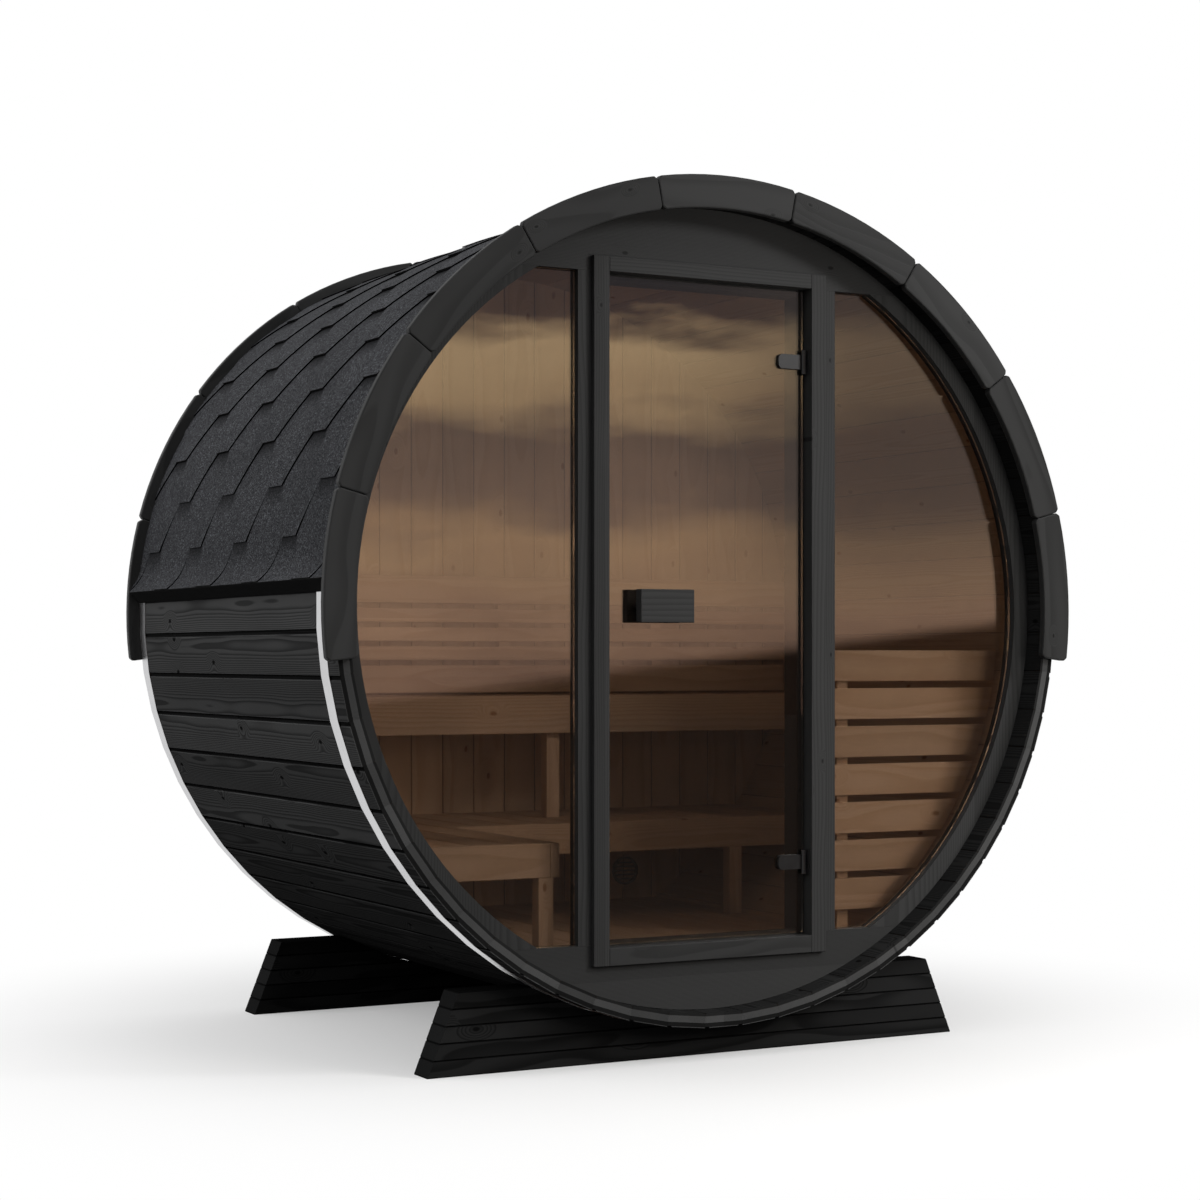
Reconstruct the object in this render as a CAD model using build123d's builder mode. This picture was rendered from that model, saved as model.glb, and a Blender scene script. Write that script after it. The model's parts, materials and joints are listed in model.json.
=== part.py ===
from build123d import *
import os
from math import ceil, cos, degrees, radians, sin, sqrt, tan

os.makedirs("parts", exist_ok=True)

# A coopered barrel sauna, in millimetres. The barrel lies along Y with its door to the
# front, at -Y. X runs to the right as seen from the front and Z runs up from the ground.
# The origin is on the ground, under the middle of the barrel.

# Clearances
seat_gap = 0.3  # between fixed pieces that lie against each other
door_gap = 6.0  # around the door glass
stop_gap = 5.0  # from the door glass to its stop
knuckle_gap = 1.0  # from a knuckle to the jamb plate
cradle_seat_gap = 0.8
pin_gap = 0.05  # radial, hinge pin in its knuckle

# Barrel
overall_length = 1442.0
barrel_clearance = 80.0  # from the ground to the underside of the staves
stave_count = 60
stave_outer_radius = 1010.0
stave_thickness = 35.0
bead_radius = 7.0
shoulder_depth = 3.0
shoulder_width = 9.0
shoulder_slope = 4.0
inner_chamfer = 2.0
stave_group_count = 10
bead_sides = 8  # small round details are many-sided, to keep the surface light
band_width = 46.0
band_thickness = 1.5
front_band_setback = 57.0  # from the front ends of the staves

# Fascia boards on the ends of the barrel
fascia_count = 9
fascia_overhang = 34.0  # beyond the outer faces of the staves
fascia_width = 80.5
fascia_thickness = 21.0
fascia_span = 194.1
fascia_joint = 1.2
fascia_corner = 8.0

# Roof covering, which flares outwards over a tapered board at each eave
underlay_gap = 0.8
covering_thickness = 6.0
flare_start_angle = 7.2  # above the level of the barrel's axis
flare_radius = 111.0
flare_angle = 38.4
eave_board_depth = 60.0
eave_board_start = 14.0  # degrees of the flare above the tapered board

# Front wall
wall_recess = 64.0  # from the front ends of the staves
wall_thickness = 45.0
ring_width = 45.0
panel_height = 172.5
mullion_outer_x = 365.0
pane_thickness = 8.0
pane_setback = 18.0

# Door frame, glass door and hinges
casing_head_margin = 137.0  # from the top of the wall
casing_foot_margin = 122.5  # from the bottom of the wall
casing_width = 42.5
casing_head_width = 36.0
casing_projection = 14.0
doorway_half_width = 287.0
lining_width = 29.0
lining_depth = 90.0
stop_width = 17.0
sill_stop_height = 14.0
door_setback = 32.0  # casing face to glass face
door_glass_thickness = 8.0
hinge_end_distance = 182.0  # from the ends of the doorway
hinge_height = 36.0
hinge_plate_height = 60.0
hinge_plate_thickness = 3.0
hinge_plate_width = 27.0
hinge_leaf_length = 76.0
hinge_leaf_thickness = 7.0
hinge_leaf_corner = 12.0
hinge_stud_radius = 5.0
hinge_stud_offset = 42.0
knuckle_radius = 6.0
pin_radius = 3.5
handle_width = 148.0
handle_height = 80.0
handle_thickness = 26.0
handle_chamfer = 1.5
handle_standoff = 20.0
handle_stud_radius = 6.0
handle_stud_inset = 26.0
handle_edge_offset = 72.0
handle_rise = 816.5  # from the sill of the doorway
fitting_sides = 16  # of the studs, knuckles and pins

# Rear wall, vent and floor
rear_recess = 111.0  # from the rear ends of the staves
rear_wall_thickness = 45.0
wall_board_width = 97.3
wall_board_offset = 18.5
board_chamfer = 3.0
narrowest_board = 30.0
vent_radius = 41.5
vent_x = 412.0
vent_rise = 82.0
vent_thickness = 10.0
vent_rim = 6.0
vent_blade_count = 5
vent_blade_height = 4.0
vent_sides = 24
floor_rise = 147.0  # from the inside of the lowest stave
floor_thickness = 26.0
floor_board_width = 95.0
bearer_width = 45.0
bearer_count = 3

# Benches
lower_bench_rise = 268.0
lower_bench_depth = 520.0
left_bench_inner_x = -383.0
left_bench_front_gap = 17.0
upper_bench_rise = 338.0
upper_bench_depth = 325.0
bench_board_width = 92.0
bench_board_gap = 6.0
bench_board_thickness = 25.0
apron_thickness = 25.0
lower_apron_height = 82.0
upper_apron_height = 104.0
ledger_width = 30.0
ledger_height = 40.0
post_width = 40.0
post_depth = 35.0
post_inset = 17.0
upper_post_x = 21.0
backrest_gap = 2.5
backrest_lean = 4.0
backrest_wide_slat = 77.5
backrest_narrow_slat = 38.7
backrest_narrow_count = 3
backrest_slat_gap = 14.7
backrest_slat_thickness = 20.0
backrest_end_gap = 20.0
backrest_batten_width = 34.0
backrest_batten_depth = 22.0
backrest_batten_spacing = 500.0
backrest_batten_count = 3

# Slatted screen behind the right window
screen_board_count = 7
screen_board_height = 80.0
screen_board_gap = 18.0
screen_board_thickness = 20.0
screen_rise = 61.0
screen_inner_x = 350.0
screen_setback = 70.0  # from the inner face of the front wall
screen_end_gap = 10.0
screen_post_width = 34.0
screen_post_spacing = 110.0

# Cradles
cradle_bottom_half = 743.0
cradle_top_half = 665.0
cradle_height = 195.0
cradle_thickness = 78.0
cradle_inset = 112.0
cradle_board_count = 5
cradle_board_chamfer = 2.5

# Places that follow from the sizes
axis_height = barrel_clearance + stave_outer_radius
front_y = -overall_length / 2
rear_y = overall_length / 2
stave_front_y = front_y + fascia_thickness
stave_rear_y = rear_y - fascia_thickness
half_pitch = radians(180.0 / stave_count)
stave_pitch = 360.0 / stave_count
stave_inner_radius = stave_outer_radius - stave_thickness
stave_corner_radius = stave_outer_radius / cos(half_pitch)
fascia_outer_radius = stave_outer_radius + fascia_overhang
fascia_inner_radius = fascia_outer_radius - fascia_width
wall_front_y = stave_front_y + wall_recess
wall_back_y = wall_front_y + wall_thickness
wall_radius = stave_inner_radius - seat_gap
ring_inner_radius = stave_inner_radius - ring_width
wall_top = axis_height + stave_inner_radius
wall_bottom = axis_height - stave_inner_radius
window_top = wall_top - panel_height
window_bottom = wall_bottom + panel_height
casing_top = wall_top - casing_head_margin
casing_bottom = wall_bottom + casing_foot_margin
casing_outer_x = doorway_half_width + casing_width
casing_face_y = wall_front_y - casing_projection
doorway_top = casing_top - casing_head_width
doorway_bottom = casing_bottom + casing_width
lining_outer_x = doorway_half_width + lining_width
lining_bottom = doorway_bottom - lining_width
lining_top = doorway_top + lining_width
lining_back_y = wall_front_y + lining_depth
glass_front_y = casing_face_y + door_setback
glass_back_y = glass_front_y + door_glass_thickness
plate_back_x = doorway_half_width - seat_gap
plate_face_x = plate_back_x - hinge_plate_thickness
hinge_x = plate_face_x - knuckle_radius - knuckle_gap
hinge_y = glass_front_y - hinge_leaf_thickness / 2 - knuckle_radius - seat_gap
hinge_levels = [doorway_bottom + hinge_end_distance, doorway_top - hinge_end_distance]
handle_z = doorway_bottom + handle_rise
rear_outer_y = stave_rear_y - rear_recess
rear_inner_y = rear_outer_y - rear_wall_thickness
floor_top = wall_bottom + floor_rise
lower_bench_top = floor_top + lower_bench_rise
upper_bench_top = lower_bench_top + upper_bench_rise


def upright(y):
    """Plane at depth y that faces the front, with X to the right and Z up."""
    return Plane.XZ.offset(-y)


def round_about_axis(y):
    """Upright plane at depth y with its origin on the barrel's axis."""
    return Plane(origin=(0, y, axis_height), x_dir=(1, 0, 0), z_dir=(0, -1, 0))


def sector(inner, outer, start, span):
    """Face between two radii, from a start angle over a span in degrees."""
    with BuildSketch(mode=Mode.PRIVATE) as face:
        with BuildLine():
            low = CenterArc((0, 0), inner, start, span)
            high = CenterArc((0, 0), outer, start, span)
            Line(low @ 0, high @ 0)
            Line(low @ 1, high @ 1)
        make_face()
    return face.sketch


def block(x0, x1, y0, y1, z0, z1):
    """Box between two corners."""
    with BuildPart(mode=Mode.PRIVATE) as box:
        with Locations(((x0 + x1) / 2, (y0 + y1) / 2, (z0 + z1) / 2)):
            Box(x1 - x0, y1 - y0, z1 - z0)
    return box.part


def draw_disc(radius, x0, x1, z0, z1):
    """Part of a disc about the axis that lies between two verticals and two levels."""
    with Locations((0, axis_height)):
        Circle(radius)
    with Locations(((x0 + x1) / 2, (z0 + z1) / 2)):
        Rectangle(x1 - x0, z1 - z0, mode=Mode.INTERSECT)


def slice_of_barrel(y0, y1, x0, x1, z0, z1, radius=wall_radius):
    """Solid inside the barrel between two depths, two verticals and two levels."""
    with BuildPart(mode=Mode.PRIVATE) as piece:
        with BuildSketch(upright(y0)):
            draw_disc(radius, x0, x1, z0, z1)
        extrude(amount=y0 - y1)
    return piece.part


def half_width(level):
    """Half of the barrel's inner width at a level."""
    return sqrt(wall_radius**2 - (level - axis_height) ** 2)


def board_edges(start, stop, pitch, joint):
    """Pairs of edges of boards laid side by side between two places, with one joint's place."""
    first = ceil((start + narrowest_board - joint) / pitch)
    last = ceil((stop - narrowest_board - joint) / pitch)
    cuts = [start] + [joint + pitch * place for place in range(first, last)] + [stop]
    return list(zip(cuts, cuts[1:]))


def laid_board(y0, y1, x0, x1, top, thickness):
    """Level board that runs front to back, eased along its upper edges clear of the barrel."""
    inside = half_width(top) - board_chamfer
    with BuildPart(mode=Mode.PRIVATE) as board:
        add(slice_of_barrel(y0, y1, x0, x1, top - thickness, top))
        upper_edges = board.edges().filter_by(Axis.Y).group_by(Axis.Z)[-1]
        chamfer(upper_edges.filter_by(lambda edge: abs(edge.center().X) < inside), board_chamfer)
    return board.part


def wall_board(x0, x1):
    """Upright board of the rear wall, chamfered along its joints on both faces."""
    with BuildPart(mode=Mode.PRIVATE) as board:
        add(slice_of_barrel(rear_inner_y, rear_outer_y, x0, x1, wall_bottom, wall_top))
        chamfer(board.edges().filter_by(Axis.Z), board_chamfer)
    return board.part


def many_sided(radius, sides, turn=0.0, mode=Mode.ADD):
    """Regular outline whose corners lie at a radius."""
    RegularPolygon(radius, sides, rotation=turn, mode=mode)


def around_many_sided(radius, sides, turn=0.0, mode=Mode.ADD):
    """Regular outline whose flats lie at a radius."""
    RegularPolygon(radius, sides, major_radius=False, rotation=turn, mode=mode)


def save(builder, label):
    """Label a finished piece and write its file."""
    builder.part.label = label
    export_step(builder.part, f"parts/{label}.step")


# Staves: planks with a bead on a rebated shoulder along one edge and a cove along the other.
# They are laid from the bottom up with the beads uppermost, so the lowest stave has two beads
# and the key stave at the top has two coves.
bead_x = stave_outer_radius - stave_thickness / 2


def stave_half(radius):
    """Half of a stave's width at a radius."""
    return radius * tan(half_pitch) - seat_gap / 2


def stave_edge(beaded):
    """Corners of a stave from the inner to the outer face along its edge towards +Y."""
    inner = [
        (stave_inner_radius, stave_half(stave_inner_radius) - inner_chamfer),
        (stave_inner_radius + inner_chamfer, stave_half(stave_inner_radius + inner_chamfer)),
    ]
    if not beaded:
        return inner + [(stave_outer_radius, stave_half(stave_outer_radius))]
    shoulder = stave_outer_radius - shoulder_depth
    edge = stave_half(shoulder)
    return inner + [
        (shoulder, edge),
        (shoulder, edge - shoulder_width),
        (stave_outer_radius, edge - shoulder_width - shoulder_slope),
    ]


def stave_profile(bead_ahead, bead_behind):
    """Section of a stave whose middle lies along +X, with a bead or a cove on either edge."""
    ahead = stave_edge(bead_ahead)
    behind = [(x, -y) for x, y in reversed(stave_edge(bead_behind))]
    with BuildSketch() as profile:
        with BuildLine():
            Polyline(*ahead, *behind, close=True)
        make_face()
        for side, beaded in ((1, bead_ahead), (-1, bead_behind)):
            turn = side * degrees(half_pitch)
            if beaded:
                with Locations((bead_x, side * stave_half(bead_x))):
                    many_sided(bead_radius, bead_sides, turn)
            else:
                with Locations((bead_x, side * (stave_half(bead_x) + seat_gap))):
                    many_sided(bead_radius + seat_gap, bead_sides, turn, Mode.SUBTRACT)
    return profile.sketch


lowest_stave = stave_profile(True, True)
key_stave = stave_profile(False, False)
left_stave = stave_profile(False, True)
right_stave = stave_profile(True, False)
staves_per_group = stave_count // stave_group_count
for group in range(stave_group_count):
    with BuildPart() as staves:
        with BuildSketch(round_about_axis(stave_front_y)):
            for place in range(staves_per_group):
                steps = group * staves_per_group + place
                if steps == 0:
                    section = key_stave
                elif 2 * steps == stave_count:
                    section = lowest_stave
                elif 2 * steps < stave_count:
                    section = left_stave
                else:
                    section = right_stave
                add(section, rotation=90 + stave_pitch * steps)
        extrude(amount=stave_front_y - stave_rear_y)
    save(staves, f"staves_{group + 1:02d}")

# Steel bands, which lie flat on the staves
band_inner_reach = stave_outer_radius + seat_gap
band_outer_reach = band_inner_reach + band_thickness
band_outer_radius = band_outer_reach / cos(half_pitch)
front_band_y = stave_front_y + front_band_setback
for label, band_y in (("band_front", front_band_y), ("band_rear", stave_rear_y - band_width)):
    with BuildPart() as band:
        with BuildSketch(round_about_axis(band_y)):
            around_many_sided(band_outer_reach, stave_count, degrees(half_pitch))
            around_many_sided(band_inner_reach, stave_count, degrees(half_pitch), Mode.SUBTRACT)
        extrude(amount=-band_width)
    save(band, label)

# Fascia boards, over the upper half of both ends
fascia_pitch = fascia_span / fascia_count
fascia_joint_angle = degrees(fascia_joint / fascia_outer_radius)
fascia_board_angle = fascia_pitch - fascia_joint_angle
for label, face_y in (("fascia_front", front_y), ("fascia_rear", stave_rear_y)):
    with BuildPart() as fascia:
        for place in range(fascia_count):
            start = 90 - fascia_span / 2 + fascia_pitch * place + fascia_joint_angle / 2
            with BuildSketch(round_about_axis(face_y)) as board:
                add(sector(fascia_inner_radius, fascia_outer_radius, start, fascia_board_angle))
                chamfer(board.vertices(), fascia_corner)
            extrude(amount=-fascia_thickness)
    save(fascia, label)

# Roof covering in two halves that meet at the ridge, and the tapered boards under its eaves
roof_inner_radius = band_outer_radius + underlay_gap
roof_outer_radius = roof_inner_radius + covering_thickness
roof_front_y = stave_front_y + seat_gap
roof_back_y = stave_rear_y - seat_gap
ridge_gap_angle = degrees(seat_gap / roof_inner_radius)
flare_reach = roof_outer_radius + flare_radius
flare_centre = (
    flare_reach * cos(radians(flare_start_angle)),
    flare_reach * sin(radians(flare_start_angle)),
)
flare_start = 180 + flare_start_angle
board_radius = flare_radius + covering_thickness + seat_gap
for label, mirrored in (("right", False), ("left", True)):
    with BuildSketch() as covering_profile:
        add(sector(
            roof_inner_radius, roof_outer_radius,
            flare_start_angle, 90 - flare_start_angle - ridge_gap_angle,
        ))
        with Locations(flare_centre):
            add(sector(flare_radius, flare_radius + covering_thickness, flare_start, flare_angle))
    with BuildSketch() as board_profile:
        with Locations(flare_centre):
            add(sector(
                board_radius, board_radius + eave_board_depth,
                flare_start + eave_board_start, flare_angle - eave_board_start,
            ))
        Circle(roof_inner_radius - underlay_gap + seat_gap, mode=Mode.SUBTRACT)
    for name, profile in (("shingles", covering_profile), ("eave_board", board_profile)):
        with BuildPart() as piece:
            with BuildSketch(round_about_axis(roof_front_y)):
                add(mirror(profile.sketch, about=Plane.YZ, mode=Mode.PRIVATE) if mirrored else profile.sketch)
            extrude(amount=roof_front_y - roof_back_y)
        save(piece, f"{name}_{label}")


# Front wall: panels at the top and the bottom, with an arc of the ring and a mullion
# beside each window
def draw_panel(low, high):
    """Panel of the wall between two levels, notched for the door's lining."""
    draw_disc(wall_radius, -wall_radius, wall_radius, low, high)
    with Locations((0, (lining_bottom + lining_top) / 2)):
        notch_height = lining_top - lining_bottom + 2 * seat_gap
        Rectangle(2 * (lining_outer_x + seat_gap), notch_height, mode=Mode.SUBTRACT)


for label, low, high in (("top", window_top, wall_top), ("bottom", wall_bottom, window_bottom)):
    with BuildPart() as panel:
        with BuildSketch(upright(wall_front_y)):
            draw_panel(low, high)
        extrude(amount=-wall_thickness)
    save(panel, f"front_panel_{label}")

for label, side in (("left", -1), ("right", 1)):
    x0, x1 = sorted((side * mullion_outer_x, side * wall_radius))
    low = window_bottom + seat_gap
    high = window_top - seat_gap
    with BuildPart() as ring:
        with BuildSketch(upright(wall_front_y)):
            draw_disc(wall_radius, x0, x1, low, high)
            with Locations((0, axis_height)):
                Circle(ring_inner_radius, mode=Mode.SUBTRACT)
        extrude(amount=-wall_thickness)
    save(ring, f"front_ring_{label}")

    pane_front_y = wall_front_y + pane_setback
    x0, x1 = sorted((side * (mullion_outer_x + seat_gap), side * wall_radius))
    with BuildPart() as pane:
        add(slice_of_barrel(
            pane_front_y, pane_front_y + pane_thickness, x0, x1, low, high,
            radius=ring_inner_radius - seat_gap,
        ))
    save(pane, f"window_glass_{label}")

    x0, x1 = sorted((side * (lining_outer_x + seat_gap), side * mullion_outer_x))
    with BuildPart() as mullion:
        add(block(x0, x1, wall_front_y, wall_back_y, low, high))
    save(mullion, f"mullion_{label}")

# Door frame: each member has a casing leg on the wall's face, a lining leg through the wall
# and a stop that the glass closes against
casing_back_y = wall_front_y - seat_gap
stop_front_y = glass_back_y + stop_gap
for label, side in (("left", -1), ("right", 1)):
    with BuildPart() as jamb:
        x0, x1 = sorted((side * doorway_half_width, side * casing_outer_x))
        add(block(x0, x1, casing_face_y, casing_back_y, casing_bottom, casing_top))
        x0, x1 = sorted((side * doorway_half_width, side * lining_outer_x))
        add(block(x0, x1, casing_back_y, wall_back_y, lining_bottom, lining_top))
        x0, x1 = sorted((side * (doorway_half_width - stop_width), side * lining_outer_x))
        add(block(x0, x1, stop_front_y, lining_back_y, floor_top + seat_gap, lining_top))
    save(jamb, f"door_frame_{label}")

frame_half = doorway_half_width - seat_gap
stop_half = doorway_half_width - stop_width - seat_gap
with BuildPart() as head:
    add(block(-frame_half, frame_half, casing_face_y, casing_back_y, doorway_top, casing_top))
    add(block(-frame_half, frame_half, casing_back_y, stop_front_y, doorway_top, lining_top))
    add(block(-stop_half, stop_half, stop_front_y, lining_back_y, doorway_top - stop_width, lining_top))
save(head, "door_frame_top")

with BuildPart() as sill:
    add(block(-frame_half, frame_half, casing_face_y, casing_back_y, casing_bottom, doorway_bottom))
    add(block(-frame_half, frame_half, casing_back_y, stop_front_y, lining_bottom, doorway_bottom))
    sill_top = doorway_bottom + sill_stop_height
    add(block(-stop_half, stop_half, stop_front_y, wall_back_y, lining_bottom, sill_top))
save(sill, "door_frame_bottom")

# Glass door, swinging on the hinges at its right edge
glass_half = doorway_half_width - door_gap
glass_bottom = doorway_bottom + door_gap
glass_top = doorway_top - door_gap
handle_left = -glass_half + handle_edge_offset
handle_studs = [handle_left + handle_stud_inset, handle_left + handle_width - handle_stud_inset]
hinge_stud_x = glass_half - hinge_stud_offset

with BuildPart() as door_glass:
    add(block(-glass_half, glass_half, glass_front_y, glass_back_y, glass_bottom, glass_top))
    with BuildSketch(upright(glass_front_y)):
        with Locations(*[(x, handle_z) for x in handle_studs]):
            many_sided(handle_stud_radius + seat_gap, fitting_sides)
        with Locations(*[(hinge_stud_x, z) for z in hinge_levels]):
            many_sided(hinge_stud_radius + seat_gap, fitting_sides)
    extrude(amount=-door_glass_thickness, mode=Mode.SUBTRACT)
save(door_glass, "door_glass")


def hinge_leaf(front, right, level):
    """Leaf of a glass clamp, rounded at its free end."""
    left = glass_half - hinge_leaf_length
    with BuildPart() as leaf:
        with BuildSketch(upright(front)) as outline:
            with Locations(((left + right) / 2, level)):
                Rectangle(right - left, hinge_height)
            fillet(outline.vertices().group_by(Axis.X)[0], hinge_leaf_corner)
        extrude(amount=-hinge_leaf_thickness)
    return leaf.part


for label, level in zip(("hinge_clamp_lower", "hinge_clamp_upper"), hinge_levels):
    low = level - hinge_height / 2
    leaf_back_y = glass_front_y - seat_gap
    inner_leaf_y = glass_back_y + seat_gap
    with BuildPart() as clamp:
        add(hinge_leaf(leaf_back_y - hinge_leaf_thickness, hinge_x, level))
        add(hinge_leaf(inner_leaf_y, doorway_half_width - stop_width - door_gap, level))
        with BuildSketch(upright(leaf_back_y)):
            with Locations((hinge_stud_x, level)):
                many_sided(hinge_stud_radius, fitting_sides)
        extrude(amount=leaf_back_y - inner_leaf_y)
        with BuildSketch(Plane.XY.offset(low)):
            with Locations((hinge_x, hinge_y)):
                many_sided(knuckle_radius, fitting_sides)
        extrude(amount=hinge_height)
        with BuildSketch(Plane.XY.offset(low)):
            with Locations((hinge_x, hinge_y)):
                around_many_sided(pin_radius + pin_gap, fitting_sides)
        extrude(amount=hinge_height, mode=Mode.SUBTRACT)
    save(clamp, label)

plate_y = hinge_y - hinge_plate_width / 2
knuckle_height = (hinge_plate_height - hinge_height) / 2 - seat_gap
with BuildPart() as hinge_plates:
    for level in hinge_levels:
        low = level - hinge_plate_height / 2
        high = level + hinge_plate_height / 2
        add(block(plate_face_x, plate_back_x, plate_y, plate_y + hinge_plate_width, low, high))
        for bottom in (low, high - knuckle_height):
            with BuildSketch(Plane.XY.offset(bottom)):
                with Locations((hinge_x, hinge_y)):
                    many_sided(knuckle_radius, fitting_sides)
                with Locations(((hinge_x + plate_back_x) / 2, hinge_y)):
                    Rectangle(plate_back_x - hinge_x, knuckle_radius)
            extrude(amount=knuckle_height)
        with BuildSketch(Plane.XY.offset(low)):
            with Locations((hinge_x, hinge_y)):
                many_sided(pin_radius, fitting_sides)
        extrude(amount=hinge_plate_height)
save(hinge_plates, "hinge_jamb_plates")

glass_middle_y = (glass_front_y + glass_back_y) / 2
for label, face_y, outward in (("outside", glass_front_y, -1), ("inside", glass_back_y, 1)):
    near = face_y + outward * handle_standoff
    y0, y1 = sorted((near, near + outward * handle_thickness))
    low = handle_z - handle_height / 2
    with BuildPart() as handle:
        add(block(handle_left, handle_left + handle_width, y0, y1, low, low + handle_height))
        chamfer(handle.edges(), handle_chamfer)
        stud_y = glass_middle_y + outward * seat_gap / 2
        with BuildSketch(upright(stud_y)):
            with Locations(*[(x, handle_z) for x in handle_studs]):
                many_sided(handle_stud_radius, fitting_sides)
        extrude(amount=stud_y - near)
    save(handle, f"handle_{label}")

# Rear wall of upright boards with grooved joints on both faces
with BuildPart() as rear_wall:
    for x0, x1 in board_edges(-wall_radius, wall_radius, wall_board_width, wall_board_offset):
        add(wall_board(x0 + seat_gap / 2, x1 - seat_gap / 2))
save(rear_wall, "rear_wall")

# Round vents on both faces of the rear wall, with level blades
vent_z = floor_top + vent_rise
blade_pitch = 2 * (vent_radius - vent_rim) / (vent_blade_count + 1)
with BuildPart() as vents:
    for start_y in (rear_inner_y - seat_gap - vent_thickness, rear_outer_y + seat_gap):
        with BuildSketch(upright(start_y)):
            with Locations((vent_x, vent_z)):
                many_sided(vent_radius, vent_sides)
                many_sided(vent_radius - vent_rim, vent_sides, mode=Mode.SUBTRACT)
            for place in range(vent_blade_count):
                level = vent_z - vent_radius + vent_rim + blade_pitch * (place + 1)
                blade_half = sqrt((vent_radius - vent_rim / 2) ** 2 - (level - vent_z) ** 2)
                with Locations((vent_x, level)):
                    Rectangle(2 * blade_half, vent_blade_height)
        extrude(amount=-vent_thickness)
save(vents, "vent_grilles")

# Floor boards on bearers, between the two walls
floor_front_y = wall_back_y + seat_gap
floor_back_y = rear_inner_y - seat_gap
floor_low = floor_top - floor_thickness
floor_half = half_width(floor_top)
with BuildPart() as floor:
    for x0, x1 in board_edges(-floor_half, floor_half, floor_board_width, floor_board_width / 2):
        add(laid_board(
            floor_front_y, floor_back_y, x0 + seat_gap / 2, x1 - seat_gap / 2, floor_top, floor_thickness,
        ))
save(floor, "floor")

bearer_pitch = (floor_back_y - floor_front_y) / bearer_count
with BuildPart() as bearers:
    for place in range(bearer_count):
        middle_y = floor_front_y + bearer_pitch * (place + 0.5)
        add(slice_of_barrel(
            middle_y - bearer_width / 2, middle_y + bearer_width / 2,
            -wall_radius, wall_radius, wall_bottom, floor_low - seat_gap,
        ))
save(bearers, "floor_bearers")

# Lower bench: an L of boards laid front to back behind aprons, on ledgers and legs
lower_front_y = floor_back_y - lower_bench_depth
left_front_y = wall_back_y + left_bench_front_gap
lower_board_low = lower_bench_top - bench_board_thickness
lower_apron_low = lower_bench_top - lower_apron_height
bench_pitch = bench_board_width + bench_board_gap
left_apron_x = left_bench_inner_x - apron_thickness
lower_back_y = lower_front_y + apron_thickness
left_back_y = left_front_y + apron_thickness
lower_half = half_width(lower_board_low)
with BuildPart() as lower_bench:
    for x0, x1 in board_edges(-lower_half, lower_half, bench_pitch, left_apron_x):
        back_y = left_back_y if x1 <= left_apron_x + seat_gap else lower_back_y
        add(laid_board(
            back_y + seat_gap, floor_back_y,
            x0 + bench_board_gap / 2, x1 - bench_board_gap / 2, lower_bench_top, bench_board_thickness,
        ))
save(lower_bench, "lower_bench_top")

ledger_top = lower_board_low - seat_gap
ledger_low = ledger_top - ledger_height
lower_ledger_y = lower_back_y + seat_gap
left_ledger_y = left_back_y + seat_gap
with BuildPart() as lower_aprons:
    add(slice_of_barrel(
        lower_front_y, lower_back_y,
        left_bench_inner_x + seat_gap, wall_radius, lower_apron_low, lower_bench_top,
    ))
    add(slice_of_barrel(
        left_front_y, left_back_y,
        -wall_radius, left_apron_x - seat_gap, lower_apron_low, lower_bench_top,
    ))
    add(block(
        left_apron_x, left_bench_inner_x, left_front_y, lower_back_y, lower_apron_low, lower_bench_top,
    ))
    add(slice_of_barrel(
        lower_ledger_y, lower_ledger_y + ledger_width,
        left_bench_inner_x + seat_gap, wall_radius, ledger_low, ledger_top,
    ))
    add(slice_of_barrel(
        left_ledger_y, left_ledger_y + ledger_width,
        -wall_radius, left_apron_x - seat_gap, ledger_low, ledger_top,
    ))
    add(slice_of_barrel(
        floor_back_y - ledger_width, floor_back_y, -wall_radius, wall_radius, ledger_low, ledger_top,
    ))
save(lower_aprons, "lower_bench_aprons")

leg_low = floor_top + seat_gap
leg_high = lower_apron_low - seat_gap
with BuildPart() as lower_legs:
    x1 = left_bench_inner_x - post_inset
    add(block(x1 - post_width, x1, left_front_y, left_front_y + post_depth, leg_low, leg_high))
    x1 = floor_half - post_inset
    add(block(x1 - post_width, x1, lower_front_y, lower_front_y + post_depth, leg_low, leg_high))
save(lower_legs, "lower_bench_legs")

# Upper bench along the rear wall, on a ledger and a post from the lower bench
upper_front_y = floor_back_y - upper_bench_depth
upper_back_y = upper_front_y + apron_thickness
upper_board_low = upper_bench_top - bench_board_thickness
upper_half = half_width(upper_board_low)
with BuildPart() as upper_bench:
    for x0, x1 in board_edges(-upper_half, upper_half, bench_pitch, bench_pitch / 2):
        add(laid_board(
            upper_back_y + seat_gap, floor_back_y,
            x0 + bench_board_gap / 2, x1 - bench_board_gap / 2, upper_bench_top, bench_board_thickness,
        ))
save(upper_bench, "upper_bench_top")

upper_apron_low = upper_bench_top - upper_apron_height
upper_ledger_top = upper_board_low - seat_gap
upper_ledger_low = upper_ledger_top - ledger_height
upper_ledger_y = upper_back_y + seat_gap
with BuildPart() as upper_apron:
    add(slice_of_barrel(
        upper_front_y, upper_back_y, -wall_radius, wall_radius, upper_apron_low, upper_bench_top,
    ))
    add(slice_of_barrel(
        upper_ledger_y, upper_ledger_y + ledger_width,
        -wall_radius, wall_radius, upper_ledger_low, upper_ledger_top,
    ))
    add(slice_of_barrel(
        floor_back_y - ledger_width, floor_back_y,
        -wall_radius, wall_radius, upper_ledger_low, upper_ledger_top,
    ))
save(upper_apron, "upper_bench_apron")

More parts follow.
